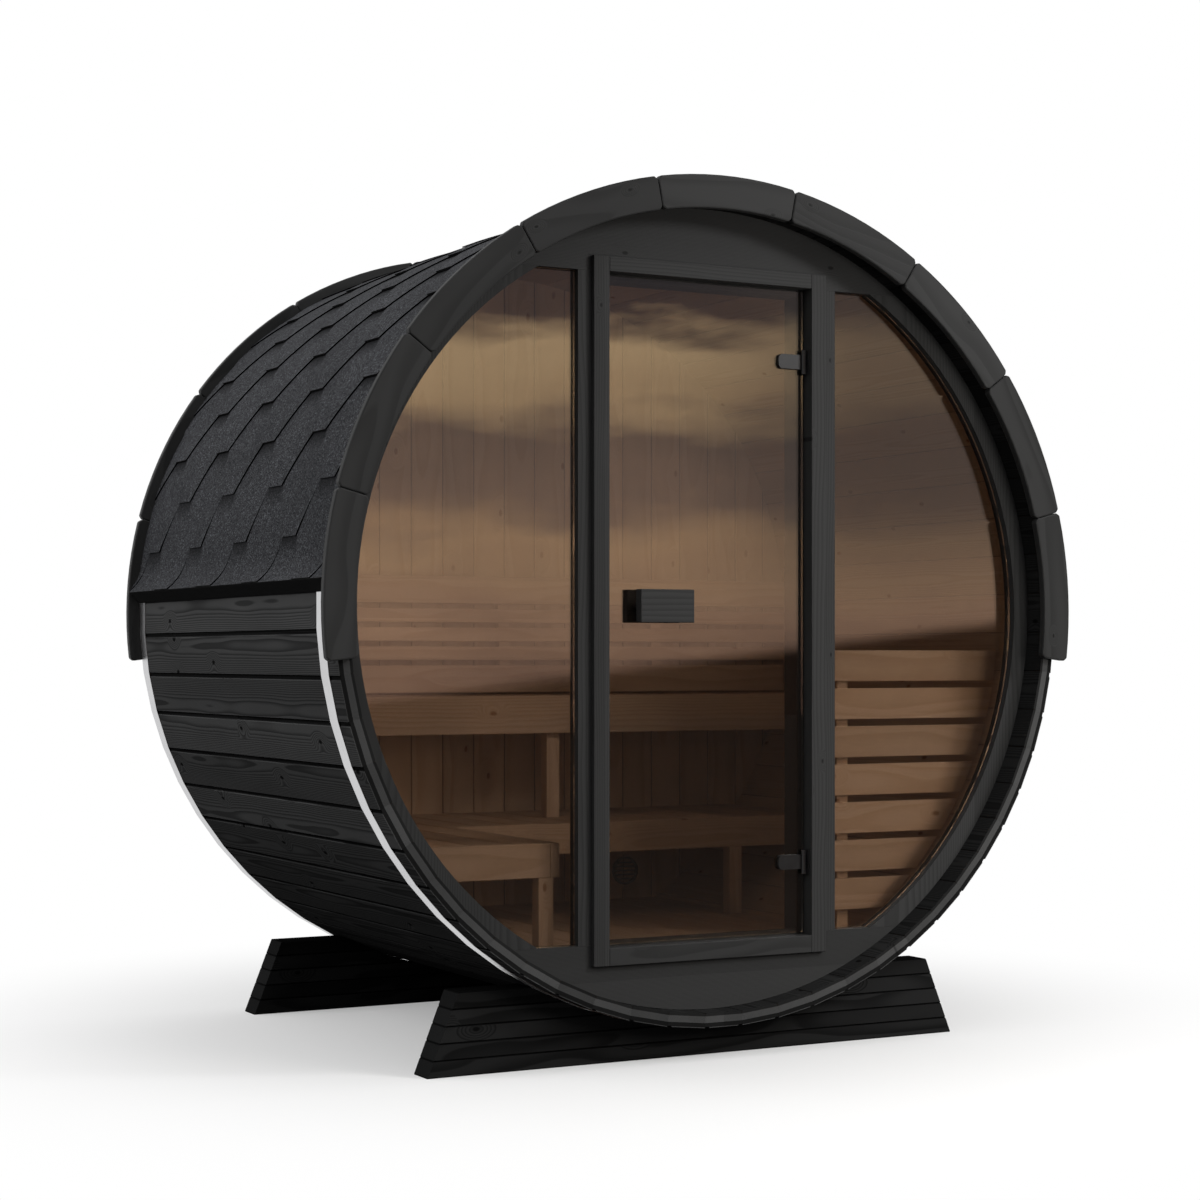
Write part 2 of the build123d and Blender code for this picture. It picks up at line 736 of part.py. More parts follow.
post_front_y = upper_back_y + seat_gap
with BuildPart() as upper_post:
    x0 = upper_post_x - post_width / 2
    post_high = upper_ledger_low - seat_gap
    add(block(
        x0, x0 + post_width, post_front_y, post_front_y + post_depth, lower_bench_top + seat_gap, post_high,
    ))
save(upper_post, "upper_bench_post")

# Backrest: slats on battens that lean back from the bench to the rear wall
narrow_slats = [backrest_narrow_slat] * backrest_narrow_count
backrest_slats = [backrest_wide_slat] + narrow_slats + [backrest_wide_slat]
backrest_height = sum(backrest_slats) + backrest_slat_gap * (len(backrest_slats) - 1)
lean_depth = backrest_height * sin(radians(backrest_lean))
batten_foot_y = floor_back_y - backrest_batten_depth - lean_depth
backrest_low = upper_bench_top + backrest_gap + backrest_slat_thickness * sin(radians(backrest_lean))
backrest_foot = Plane(
    origin=(0, batten_foot_y, backrest_low),
    x_dir=(1, 0, 0),
    z_dir=(0, -1, 0),
).rotated((-backrest_lean, 0, 0))
with BuildPart() as backrest:
    level = 0
    for height in backrest_slats:
        top = backrest_low + level + height
        bottom = top - height
        slat_half = min(half_width(top), half_width(bottom)) - backrest_end_gap
        with BuildSketch(backrest_foot.offset(seat_gap)):
            with Locations((0, level + height / 2)):
                Rectangle(2 * slat_half, height)
        extrude(amount=backrest_slat_thickness)
        level += height + backrest_slat_gap
    with BuildSketch(backrest_foot):
        with Locations((0, backrest_height / 2)):
            with GridLocations(backrest_batten_spacing, 1, backrest_batten_count, 1):
                Rectangle(backrest_batten_width, backrest_height)
    extrude(amount=-backrest_batten_depth)
save(backrest, "backrest")

# Slatted screen: boards on two posts behind the right window
screen_y = wall_back_y + screen_setback
screen_pitch = screen_board_height + screen_board_gap
screen_bottom = floor_top + screen_rise
screen_top = screen_bottom + screen_pitch * screen_board_count - screen_board_gap
with BuildPart() as screen:
    for place in range(screen_board_count):
        level = screen_bottom + place * screen_pitch
        add(slice_of_barrel(
            screen_y, screen_y + screen_board_thickness,
            screen_inner_x, wall_radius, level, level + screen_board_height,
            radius=wall_radius - screen_end_gap,
        ))
    post_y = screen_y + screen_board_thickness + seat_gap
    for x0 in (screen_inner_x, screen_inner_x + screen_post_spacing):
        add(block(
            x0, x0 + screen_post_width, post_y, post_y + screen_post_width, floor_top + seat_gap, screen_top,
        ))
save(screen, "slatted_screen")

# Cradles: five boards each, laid flat with grooved joints, and cut to a round seat
cradle_board_height = cradle_height / cradle_board_count
cradle_slope = (cradle_bottom_half - cradle_top_half) / cradle_height
front_cradle_y = front_y + cradle_inset
rear_cradle_y = rear_y - cradle_inset - cradle_thickness


def cradle_board(cradle_y, place):
    """Board of a cradle, counted from the ground, before its seat is cut."""
    low = place * cradle_board_height
    high = low + cradle_board_height - seat_gap
    low_half = cradle_bottom_half - cradle_slope * low
    high_half = cradle_bottom_half - cradle_slope * high
    with BuildPart(mode=Mode.PRIVATE) as board:
        with BuildSketch(upright(cradle_y)):
            with BuildLine():
                Polyline(
                    (-low_half, low), (low_half, low), (high_half, high), (-high_half, high), close=True,
                )
            make_face()
        extrude(amount=-cradle_thickness)
        chamfer(board.edges().filter_by(Axis.X), cradle_board_chamfer)
    return board.part


for label, cradle_y in (("cradle_front", front_cradle_y), ("cradle_rear", rear_cradle_y)):
    with BuildPart() as cradle:
        for place in range(cradle_board_count):
            add(cradle_board(cradle_y, place))
        with BuildSketch(round_about_axis(cradle_y)):
            Circle(stave_corner_radius + cradle_seat_gap)
        extrude(amount=-cradle_thickness, mode=Mode.SUBTRACT)
        with BuildSketch(round_about_axis(front_band_y - seat_gap)):
            Circle(band_outer_radius + seat_gap)
        extrude(amount=-band_width - 2 * seat_gap, mode=Mode.SUBTRACT)
    save(cradle, label)
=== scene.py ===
"""Looks of a coopered barrel sauna: stained and bare spruce, shingled roof, bronze glass.

Most nodes keep theirs and are dressed in a finish, some are replaced by copies with eased
edges, and the two plain roof coverings by modelled shingles. All sizes are in metres and
all angles in radians, unless a docstring says otherwise.
"""

import json
import logging
import math
from dataclasses import dataclass, field
from enum import Enum
from typing import Callable

import bpy
from mathutils import Matrix, Vector

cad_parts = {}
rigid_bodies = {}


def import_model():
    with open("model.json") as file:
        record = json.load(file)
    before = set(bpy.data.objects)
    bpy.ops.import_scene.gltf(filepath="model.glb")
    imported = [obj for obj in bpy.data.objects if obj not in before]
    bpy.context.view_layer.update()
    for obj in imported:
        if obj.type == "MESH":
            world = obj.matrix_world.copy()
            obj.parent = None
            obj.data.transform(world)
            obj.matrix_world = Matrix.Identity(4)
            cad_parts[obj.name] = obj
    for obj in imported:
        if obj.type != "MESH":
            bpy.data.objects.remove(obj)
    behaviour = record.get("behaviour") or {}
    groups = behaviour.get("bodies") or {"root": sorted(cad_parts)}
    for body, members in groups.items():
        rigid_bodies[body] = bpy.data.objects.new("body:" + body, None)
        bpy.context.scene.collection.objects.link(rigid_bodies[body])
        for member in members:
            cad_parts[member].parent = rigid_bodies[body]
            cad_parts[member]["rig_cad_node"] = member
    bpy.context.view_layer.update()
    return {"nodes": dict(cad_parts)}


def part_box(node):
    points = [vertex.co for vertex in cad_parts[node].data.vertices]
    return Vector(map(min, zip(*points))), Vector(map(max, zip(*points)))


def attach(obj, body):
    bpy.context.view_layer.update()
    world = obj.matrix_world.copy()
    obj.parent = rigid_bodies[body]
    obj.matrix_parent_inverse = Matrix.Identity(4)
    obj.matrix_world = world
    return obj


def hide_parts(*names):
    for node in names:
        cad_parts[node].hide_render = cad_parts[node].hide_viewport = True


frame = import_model()
LOG = logging.getLogger("barrel_sauna")

Colour = tuple[float, float, float]
Plane = tuple[Vector, Vector]
Node, Socket, Tree = bpy.types.Node, bpy.types.NodeSocket, bpy.types.NodeTree
Material, Piece = bpy.types.Material, bpy.types.Object
Value = Socket | float | tuple

WHITE: Colour = (1.0, 1.0, 1.0)
DEGREES = 180.0 / math.pi


class Sheet:
    """Nodes of one material, world or group, with a short call for each common one."""

    def __init__(self, tree: Tree) -> None:
        """Starts with the tree that the nodes go into."""
        self.tree = tree

    def node(self, kind: str, **settings: object) -> Node:
        """Adds a node.

        Args:
            kind: Blender's name of the node's type, without its leading "ShaderNode".
            settings: The node's own properties.

        Returns:
            The new node.
        """
        made = self.tree.nodes.new(kind if kind.startswith("Node") else f"ShaderNode{kind}")
        for name, value in settings.items():
            setattr(made, name, value)
        return made

    def feed(self, socket: Socket, value: Value) -> None:
        """Links an input to another socket, or sets its plain value.

        Args:
            socket: The input.
            value: A socket, a number or a colour.
        """
        if isinstance(value, Socket):
            self.tree.links.new(value, socket)
        else:
            socket.default_value = (*value, 1.0) if socket.type == "RGBA" else value

    def fill(self, made: Node, **values: Value) -> Node:
        """Feeds a node's inputs by name.

        Args:
            made: The node.
            values: Its inputs, with underscores for spaces.

        Returns:
            The same node.
        """
        for name, value in values.items():
            self.feed(made.inputs[name.replace("_", " ")], value)
        return made

    def row(self, made: Node, *values: Value) -> Socket:
        """Feeds a node's inputs in order.

        Args:
            made: The node.
            values: Its first inputs.

        Returns:
            Its first output.
        """
        for socket, value in zip(made.inputs, values):
            self.feed(socket, value)
        return made.outputs[0]

    def find(self, kind: str) -> Node:
        """Finds the tree's first node of a type."""
        return next(n for n in self.tree.nodes if n.type == kind)

    def use(self, group: Tree, **values: Value) -> Node:
        """Places a node group with its inputs."""
        return self.fill(self.node("Group", node_tree=group), **values)

    def point(self) -> Socket:
        """Gives the place on the piece, in metres."""
        return self.node("TexCoord").outputs["Object"]

    def maths(self, operation: str, *values: Value) -> Socket:
        """Works out a value by a math node."""
        return self.row(self.node("Math", operation=operation), *values)

    def times(self, first: Value, second: Value) -> Socket:
        """Multiplies two values."""
        return self.maths("MULTIPLY", first, second)

    def plus(self, first: Value, second: Value) -> Socket:
        """Adds two values."""
        return self.maths("ADD", first, second)

    def minus(self, first: Value, second: Value) -> Socket:
        """Takes the second value from the first."""
        return self.maths("SUBTRACT", first, second)

    def length(self, x: Value, y: Value) -> Socket:
        """Finds the length of a vector in a plane."""
        return self.maths("SQRT", self.plus(self.times(x, x), self.times(y, y)))

    def join(self, x: Value, y: Value, z: Value = 0.0) -> Socket:
        """Makes a vector of three values."""
        return self.row(self.node("CombineXYZ"), x, y, z)

    def split(self, vector: Socket) -> tuple[Socket, Socket, Socket]:
        """Takes a vector or a colour apart into its three values."""
        made = self.node("SeparateXYZ")
        self.feed(made.inputs[0], vector)
        return made.outputs[0], made.outputs[1], made.outputs[2]

    def scale(self, vector: Socket, factor: Value) -> Socket:
        """Scales a vector or a colour."""
        made = self.node("VectorMath", operation="SCALE")
        return self.row(self.fill(made, Scale=factor), vector)

    def blend(self, factor: Value, first: Socket, second: Socket) -> Socket:
        """Mixes two shaders."""
        return self.row(self.node("MixShader"), factor, first, second)

    def noise(self, vector: Socket, scale: float, detail: float = 2.0,
              rough: float = 0.5) -> Socket:
        """Adds a noise texture.

        Args:
            vector: Where the noise is read.
            scale: Its frequency.
            detail: How many finer layers it has.
            rough: How strong the finer layers are.

        Returns:
            The noise's value, around a half.
        """
        made = self.node("TexNoise")
        self.fill(made, Vector=vector, Scale=scale, Detail=detail, Roughness=rough)
        return made.outputs[0]

    def smooth(self, value: Value, low: Value, high: Value,
               start: float = 0.0, end: float = 1.0) -> Socket:
        """Maps a range onto another with eased ends.

        Args:
            value: What is mapped.
            low: The value that gives the start.
            high: The value that gives the end.
            start: The result at and below low.
            end: The result at and above high.

        Returns:
            The mapped value.
        """
        made = self.node("MapRange", interpolation_type="SMOOTHSTEP")
        return self.row(made, value, low, high, start, end)

    def mix(self, factor: Value, first: Value, second: Value) -> Socket:
        """Mixes two colours.

        Args:
            factor: The share of the second.
            first: A colour or its socket.
            second: A colour or its socket.

        Returns:
            The mixed colour.
        """
        made = self.node("Mix", data_type="RGBA")
        for index, item in ((0, factor), (6, first), (7, second)):
            self.feed(made.inputs[index], item)
        return made.outputs[2]

    def bump(self, height: Socket, strength: float, distance: float) -> Socket:
        """Turns a height into a normal.

        Args:
            height: The height, around 0 to 1.
            strength: How strongly it shows.
            distance: The depth of a height of 1, in metres.

        Returns:
            The normal.
        """
        made = self.node("Bump")
        return self.fill(made, Strength=strength, Distance=distance, Height=height).outputs[0]


def shade(colour: Colour, share: float) -> Colour:
    """Darkens a colour to a share of itself."""
    return tuple(share * c for c in colour)


def new_group(name: str, inputs: dict[str, float | str],
              outputs: dict[str, str]) -> tuple[Sheet, Node, Node]:
    """Starts a shader node group.

    Args:
        name: The group's name.
        inputs: Each input's name with its plain value, or "Vector" for a vector.
        outputs: Each output's name with its kind, "Float" or "Color".

    Returns:
        The group's sheet, its input node and its output node.
    """
    tree = bpy.data.node_groups.new(name, "ShaderNodeTree")
    for label, value in inputs.items():
        kind = "NodeSocketVector" if value == "Vector" else "NodeSocketFloat"
        made = tree.interface.new_socket(name=label, in_out="INPUT", socket_type=kind)
        if value != "Vector":
            made.default_value = value
    for label, kind in outputs.items():
        tree.interface.new_socket(name=label, in_out="OUTPUT", socket_type=f"NodeSocket{kind}")
    sheet = Sheet(tree)
    return sheet, sheet.node("NodeGroupInput"), sheet.node("NodeGroupOutput")


@dataclass(frozen=True)
class GrainEffect:
    """Figure of sawn spruce: rings about a wandering pith, knots and fine fibres."""

    knot_cell: float = 0.15
    knot_stretch: float = 0.55
    knot_from: float = 0.62
    knot_core: float = 0.45
    knot_halo: tuple[float, float] = (0.5, 4.5)
    knot_pull: float = 0.010
    pith_depth: float = 0.060
    pith_spread: float = 0.05
    pith_wander: float = 0.013
    run_shift: float = 41.0
    side_shift: float = 0.07
    bend: tuple[float, float] = (1.5, 5.0)
    cloud: tuple[float, float] = (2.2, 9.0)
    fibre: tuple[float, float] = (9.0, 520.0)
    ring_rise: tuple[float, float] = (0.25, 0.86)
    ring_fall: tuple[float, float] = (0.9, 1.0)
    tone_mix: tuple[float, float] = (0.55, 0.45)
    relief_mix: tuple[float, float, float] = (-0.5, 0.5, 0.3)

    def knots(self, sheet: Sheet, run: Socket, side: Socket, size: Socket) -> tuple[Socket, Socket]:
        """Scatters knots over a board.

        Args:
            sheet: The group's nodes.
            run: The place along the board.
            side: The place across it.
            size: The knots' radius.

        Returns:
            The knots, and the halo in which the rings bend round them.
        """
        cells = sheet.node("TexVoronoi", voronoi_dimensions="2D", feature="F1")
        place = sheet.join(sheet.times(run, self.knot_stretch), side)
        sheet.fill(cells, Vector=place, Scale=1.0 / self.knot_cell)
        kept = sheet.maths("GREATER_THAN", sheet.split(cells.outputs["Color"])[0], self.knot_from)
        reach = sheet.times(cells.outputs["Distance"], self.knot_cell)
        reach = sheet.plus(reach, sheet.minus(1.0, kept))
        core = sheet.smooth(reach, sheet.times(size, self.knot_core), size, 1.0, 0.0)
        bounds = [sheet.times(size, share) for share in self.knot_halo]
        halo = sheet.smooth(reach, *bounds, 1.0, 0.0)
        return core, halo

    def build(self) -> Tree:
        """Builds the group that every wooden finish uses.

        Returns:
            The group, with a board's own coordinates in metres as its inputs.
        """
        sheet, given, made = new_group(
            "Spruce Grain",
            {"Along": 0.0, "Across": 0.0, "Depth": 0.0, "Board": 0.0, "Ring Width": 0.004,
             "Knot Size": 0.008},
            {"Rings": "Float", "Knots": "Float", "Tone": "Float", "Relief": "Float"},
        )
        along, across, depth, board, ring, knot = given.outputs[:6]
        chance = sheet.fill(sheet.node("TexWhiteNoise", noise_dimensions="1D"), W=board)
        first, second, third = sheet.split(chance.outputs["Color"])
        run = sheet.maths("MULTIPLY_ADD", first, self.run_shift, along)
        side = sheet.maths("MULTIPLY_ADD", sheet.minus(second, 0.5), self.side_shift, across)
        knots, halo = self.knots(sheet, run, side, knot)
        wave = sheet.join(sheet.times(run, self.bend[0]), sheet.times(side, self.bend[1]), board)
        pith = sheet.maths("MULTIPLY_ADD", third, self.pith_spread, self.pith_depth)
        pith = sheet.plus(pith, sheet.times(sheet.noise(wave, 1.0, 2.0, 0.45), self.pith_wander))
        pith = sheet.plus(pith, sheet.times(halo, self.knot_pull))
        away = sheet.length(sheet.plus(pith, depth), side)
        place = sheet.maths("FRACT", sheet.maths("DIVIDE", away, ring))
        rings = sheet.times(sheet.smooth(place, *self.ring_rise),
                            sheet.smooth(place, *self.ring_fall, 1.0, 0.0))
        thin = [sheet.times(v, self.fibre[1]) for v in (side, depth)]
        fibre = sheet.noise(sheet.join(sheet.times(run, self.fibre[0]), *thin), 1.0, 2.0, 0.6)
        slow = sheet.join(sheet.times(run, self.cloud[0]), sheet.times(side, self.cloud[1]), board)
        cloud = sheet.noise(slow, 1.0, 3.0, 0.55)
        own, clouded = self.tone_mix
        tone = sheet.plus(sheet.times(third, own), sheet.times(cloud, clouded))
        ridges, fibres, dips = self.relief_mix
        relief = sheet.plus(sheet.times(rings, ridges), sheet.times(fibre, fibres))
        relief = sheet.minus(relief, sheet.times(knots, dips))
        sheet.fill(made, Rings=rings, Knots=knots, Tone=tone, Relief=relief)
        return sheet.tree


@dataclass(frozen=True)
class UnevenEffect:
    """Slow, cloudy change over a surface, as a brushed coat or handled metal has."""

    fine_scale: float = 9.0
    coarse_share: float = 0.7
    fine_share: float = 0.3

    def build(self) -> Tree:
        """Builds the group that metal, glass and roofing use.

        Returns:
            The group, with one mask around a half.
        """
        sheet, given, made = new_group("Uneven Coat", {"Point": "Vector", "Frequency": 6.0},
                                       {"Mask": "Float"})
        point = sheet.scale(given.outputs["Point"], given.outputs["Frequency"])
        coarse = sheet.times(sheet.noise(point, 1.0, 3.0, 0.55), self.coarse_share)
        fine = sheet.times(sheet.noise(point, self.fine_scale, 2.0, 0.5), self.fine_share)
        sheet.fill(made, Mask=sheet.plus(coarse, fine))
        return sheet.tree


class Run(Enum):
    """Which way the boards of a piece run."""

    STAVES = "about the barrel, with the length front to back"
    FASCIA = "about the barrel, with the length around it"
    SIDEWAYS = "along X, stacked in Z"
    DEEP = "along Y, side by side in X"
    UPRIGHT = "along Z, side by side in X"


@dataclass(frozen=True)
class Boards:
    """How boards are laid out on a piece, so that each has a figure of its own."""

    run: Run
    pitch: float = 10.0
    joint: float = 0.0
    rear_shift: float = 20.0

    def curved(self, sheet: Sheet, x: Socket, y: Socket, z: Socket) -> dict[str, Socket]:
        """Finds a board's own coordinates about the barrel.

        Args:
            sheet: The material's nodes.
            x: The place to the right.
            y: The place to the rear.
            z: The place above the ground.

        Returns:
            The values Along, Across, Depth and Board.
        """
        rise = sheet.minus(z, BARREL.axis_height)
        angle = sheet.maths("ARCTAN2", x, rise)
        place = sheet.maths("ROUND", sheet.maths("DIVIDE", angle, self.pitch))
        middle = sheet.times(place, self.pitch)
        sine, cosine = sheet.maths("SINE", middle), sheet.maths("COSINE", middle)
        turned = sheet.minus(sheet.times(x, cosine), sheet.times(rise, sine))
        outward = sheet.plus(sheet.times(x, sine), sheet.times(rise, cosine))
        outward = sheet.minus(outward, BARREL.outer_radius)
        if self.run is Run.STAVES:
            return {"Along": y, "Across": turned, "Depth": outward, "Board": place}
        place = sheet.plus(place, sheet.times(sheet.maths("SIGN", y), self.rear_shift))
        return {"Along": turned, "Across": outward, "Depth": y, "Board": place}

    def coordinates(self, sheet: Sheet) -> dict[str, Socket]:
        """Finds a board's own coordinates.

        Args:
            sheet: The material's nodes.

        Returns:
            The values Along, Across, Depth and Board.
        """
        x, y, z = sheet.split(sheet.point())
        if self.run in (Run.STAVES, Run.FASCIA):
            return self.curved(sheet, x, y, z)
        ways = {Run.SIDEWAYS: (x, z, y), Run.DEEP: (y, x, z), Run.UPRIGHT: (z, x, y)}
        along, across, depth = ways[self.run]
        steps = sheet.maths("DIVIDE", sheet.minus(across, self.joint), self.pitch)
        place = sheet.maths("FLOOR", steps)
        middle = sheet.maths("MULTIPLY_ADD", sheet.plus(place, 0.5), self.pitch, self.joint)
        return {"Along": along, "Across": sheet.minus(across, middle), "Depth": depth,
                "Board": place}


@dataclass(frozen=True)
class WoodTone:
    """Colours and sheen of one way of finishing spruce."""

    early: Colour
    late: Colour
    knot: Colour
    spread: float
    rough: float
    sheen: float


STAIN = WoodTone((0.088, 0.0884, 0.089), (0.044, 0.0443, 0.0447), (0.012, 0.012, 0.0122),
                 0.22, 0.6, 0.0)
SATIN_STAIN = WoodTone((0.044, 0.0442, 0.0445), (0.035, 0.0352, 0.0354), (0.018, 0.018, 0.0181),
                       0.16, 0.5, 0.06)
# Darker copy of the stain: painted shade for the eave boards under the roof's flare.
SHADED_STAIN = WoodTone((0.036, 0.0362, 0.0365), (0.024, 0.0242, 0.0244), (0.010, 0.010, 0.0101),
                        0.20, 0.6, 0.0)
# Darker copy of the stain: painted shade for the cradles, low under the barrel.
SHADED_CRADLE_STAIN = WoodTone((0.020, 0.0201, 0.0203), (0.011, 0.0111, 0.0112), (0.005, 0.005, 0.005),
                        0.25, 0.6, 0.0)
BARE = WoodTone((0.58, 0.45, 0.33), (0.52, 0.385, 0.265), (0.34, 0.21, 0.13), 0.12, 0.6, 0.4)


@dataclass(frozen=True)
class BareInside:
    """Where a stained piece is left bare: between two depths and, if given, inside a radius."""

    front: float
    back: float
    radius: float | None = None

    def mask(self, sheet: Sheet) -> Socket:
        """Finds where the piece is bare.

        Args:
            sheet: The material's nodes.

        Returns:
            The mask, 0 or 1.
        """
        x, y, z = sheet.split(sheet.point())
        bare = sheet.maths("GREATER_THAN", y, self.front)
        bare = sheet.times(bare, sheet.maths("LESS_THAN", y, self.back))
        if self.radius is None:
            return bare
        away = sheet.length(x, sheet.minus(z, BARREL.axis_height))
        return sheet.times(bare, sheet.maths("LESS_THAN", away, self.radius))


@dataclass(frozen=True)
class StaveJointsAndShade:
    """Dark joint lines inside a stave, and painted shade in its rebates and on its inside at the
    barrel's mouth, in metres: depths are taken from its outer face.
    """

    edge: tuple[float, float] = (0.0498, 0.0506)
    edge_depth: float = -0.030
    edge_tone: Colour = (0.06, 0.035, 0.02)
    rebate: tuple[float, float] = (-0.0022, -0.0008)
    rebate_depth: float = -0.012
    mouth_depth: float = -0.028
    mouth_end: float = 0.01
    # Near-black painted shade for the rebates and the barrel's mouth.
    painted_shade: Colour = (0.003, 0.003, 0.003)
    shares: tuple[float, float, float] = (0.6, 0.85, 0.75)

    def darken(self, sheet: Sheet, colour: Socket, places: dict[str, Socket]) -> Socket:
        """Darkens the joint lines inside, and paints shade into the rebates outside and onto the
        inside at the barrel's mouth.

        Args:
            sheet: The material's nodes.
            colour: The wood's colour.
            places: The board's own coordinates.

        Returns:
            The darkened colour.
        """
        depth = places["Depth"]
        edge = sheet.smooth(sheet.maths("ABSOLUTE", places["Across"]), *self.edge)
        edge = sheet.times(edge, sheet.maths("LESS_THAN", depth, self.edge_depth))
        # Painted shade in the rebate along each stave's outer edge.
        rebate = sheet.smooth(depth, *self.rebate, 1.0, 0.0)
        rebate = sheet.times(rebate, sheet.maths("GREATER_THAN", depth, self.rebate_depth))
        # Painted shade on the staves' inside ahead of the front wall.
        ahead = sheet.maths("LESS_THAN", places["Along"], WALL_FRONT + self.mouth_end)
        mouth = sheet.times(sheet.maths("LESS_THAN", depth, self.mouth_depth), ahead)
        tones = (self.edge_tone, self.painted_shade, self.painted_shade)
        for mask, share, tone in zip((edge, rebate, mouth), self.shares, tones):
            colour = sheet.mix(sheet.times(mask, share), colour, tone)
        return colour


@dataclass(frozen=True)
class Finish:
    """A finish, which each kind paints in its own way."""

    name: str

    def paint(self, sheet: Sheet, shader: Node, shop: "Workshop") -> None:
        """Sets up the material's shader.

        Args:
            sheet: The material's nodes.
            shader: Its shader.
            shop: The shared node groups.
        """
        raise NotImplementedError

    def build(self, shop: "Workshop") -> Material:
        """Builds the material.

        Args:
            shop: The shared node groups.

        Returns:
            The material.
        """
        material = bpy.data.materials.new(self.name)
        material.use_nodes = True
        sheet = Sheet(material.node_tree)
        self.paint(sheet, sheet.find("BSDF_PRINCIPLED"), shop)
        return material


@dataclass(frozen=True)
class Wood(Finish):
    """Spruce boards, black outside and bare where the cabin's air reaches them."""

    boards: Boards
    tone: WoodTone = STAIN
    inside: BareInside | None = None
    ring: float = 0.0026
    knot: float = 0.0075
    joints: StaveJointsAndShade | None = None
    seam: float = 0.0
    seam_share: float = 0.7
    seam_tone: float = 0.15
    rough_spread: float = 0.16
    late_polish: float = 0.06
    relief: float = 0.0006

    @staticmethod
    def colour(sheet: Sheet, grain: Node, tone: WoodTone) -> Socket:
        """Colours the grain in one tone.

        Args:
            sheet: The material's nodes.
            grain: The grain group's node.
            tone: The tone.

        Returns:
            The wood's colour.
        """
        base = sheet.mix(grain.outputs["Rings"], tone.early, tone.late)
        base = sheet.mix(grain.outputs["Knots"], base, tone.knot)
        return sheet.scale(base, sheet.smooth(grain.outputs["Tone"], 0.15, 0.85,
                                              1.0 - tone.spread, 1.0 + tone.spread))

    def paint(self, sheet: Sheet, shader: Node, shop: "Workshop") -> None:
        """Paints each board with its own figure.

        Args:
            sheet: The material's nodes.
            shader: Its shader.
            shop: The shared node groups.
        """
        places = self.boards.coordinates(sheet)
        grain = sheet.use(shop.grain, **places, Ring_Width=self.ring, Knot_Size=self.knot)
        colour = self.colour(sheet, grain, self.tone)
        if self.inside:
            other = STAIN if self.tone is BARE else BARE
            colour = sheet.mix(self.inside.mask(sheet), colour, self.colour(sheet, grain, other))
        # Dark joint lines inside the staves, and painted shade in their rebates and at the barrel's
        # mouth.
        if self.joints:
            colour = self.joints.darken(sheet, colour, places)
        if self.seam:
            half = self.boards.pitch / 2
            edge = sheet.smooth(sheet.maths("ABSOLUTE", places["Across"]), half - self.seam,
                                half - self.seam / 2)
            dark = shade(self.tone.late, self.seam_tone)
            colour = sheet.mix(sheet.times(edge, self.seam_share), colour, dark)
        least = self.tone.rough - self.rough_spread / 2
        rough = sheet.maths("MULTIPLY_ADD", grain.outputs["Tone"], self.rough_spread, least)
        rough = sheet.maths("MULTIPLY_ADD", grain.outputs["Rings"], -self.late_polish, rough)
        sheet.fill(shader, Base_Color=colour, Roughness=rough, Specular_IOR_Level=self.tone.sheen,
                   Normal=sheet.bump(grain.outputs["Relief"], 0.5, self.relief))


@dataclass(frozen=True)
class Granules(Finish):
    """Bitumen roofing with mineral granules, darker just under each tab's lower edge."""

    charcoal: Colour = (0.017, 0.0175, 0.0195)
    slate: Colour = (0.078, 0.080, 0.087)
    pale: Colour = (0.15, 0.155, 0.17)
    pale_from: float = 0.95
    grit_scale: float = 400.0
    grit_height: float = 0.0012
    patch_scale: float = 4.0
    patch_share: float = 0.4
    shade_reach: float = 0.42
    shade_half: tuple[float, float] = (0.12, 0.19)
    shade_share: float = 0.8
    shade_tone: float = 0.4

    def under_tabs(self, sheet: Sheet, point: Socket) -> Socket:
        """Finds where the tabs above shade the roof.

        Args:
            sheet: The material's nodes.
            point: The place on the roof.

        Returns:
            The shade, 0 to 1.
        """
        x, y, z = sheet.split(point)
        rise = sheet.minus(z, BARREL.axis_height)
        angle = sheet.maths("ARCTAN2", rise, sheet.maths("ABSOLUTE", x))
        slope = sheet.minus(sheet.times(angle, ROOF.outer_radius), ROOF.first_row)
        steps = sheet.maths("DIVIDE", slope, ROOF.exposure)
        below = sheet.minus(1.0, sheet.maths("FRACT", steps))
        parity = sheet.maths("FLOORED_MODULO", sheet.maths("FLOOR", steps), 2.0)
        turn = sheet.maths("DIVIDE", sheet.minus(y, ROOF.phase), ROOF.tab_pitch)
        turn = sheet.minus(turn, sheet.times(sheet.minus(1.0, parity), 0.5))
        off = sheet.minus(sheet.maths("FRACT", sheet.plus(turn, 0.5)), 0.5)
        near = sheet.smooth(sheet.maths("ABSOLUTE", off), *self.shade_half, 1.0, 0.0)
        return sheet.times(sheet.smooth(below, 0.0, self.shade_reach, 1.0, 0.0), near)

    def paint(self, sheet: Sheet, shader: Node, shop: "Workshop") -> None:
        """Paints the granules, cloudy patches and the shade under the tabs.

        Args:
            sheet: The material's nodes.
            shader: Its shader.
            shop: The shared node groups.
        """
        point = sheet.point()
        grit = sheet.node("TexVoronoi", voronoi_dimensions="3D", feature="F1")
        sheet.fill(grit, Vector=point, Scale=self.grit_scale)
        chance, other, _ = sheet.split(grit.outputs["Color"])
        colour = sheet.mix(sheet.smooth(chance, 0.2, 0.9), self.charcoal, self.slate)
        colour = sheet.mix(sheet.maths("GREATER_THAN", other, self.pale_from), colour, self.pale)
        patch = shop.patch(sheet, self.patch_scale)
        patch = sheet.smooth(patch, 0.35, 0.7, 0.0, self.patch_share)
        colour = sheet.mix(patch, colour, self.charcoal)
        under = sheet.times(self.under_tabs(sheet, point), self.shade_share)
        colour = sheet.mix(under, colour, shade(self.charcoal, self.shade_tone))
        height = sheet.minus(1.0, grit.outputs["Distance"])
        sheet.fill(shader, Base_Color=colour, Roughness=0.85, Specular_IOR_Level=0.05,
                   Normal=sheet.bump(height, 0.35, self.grit_height))


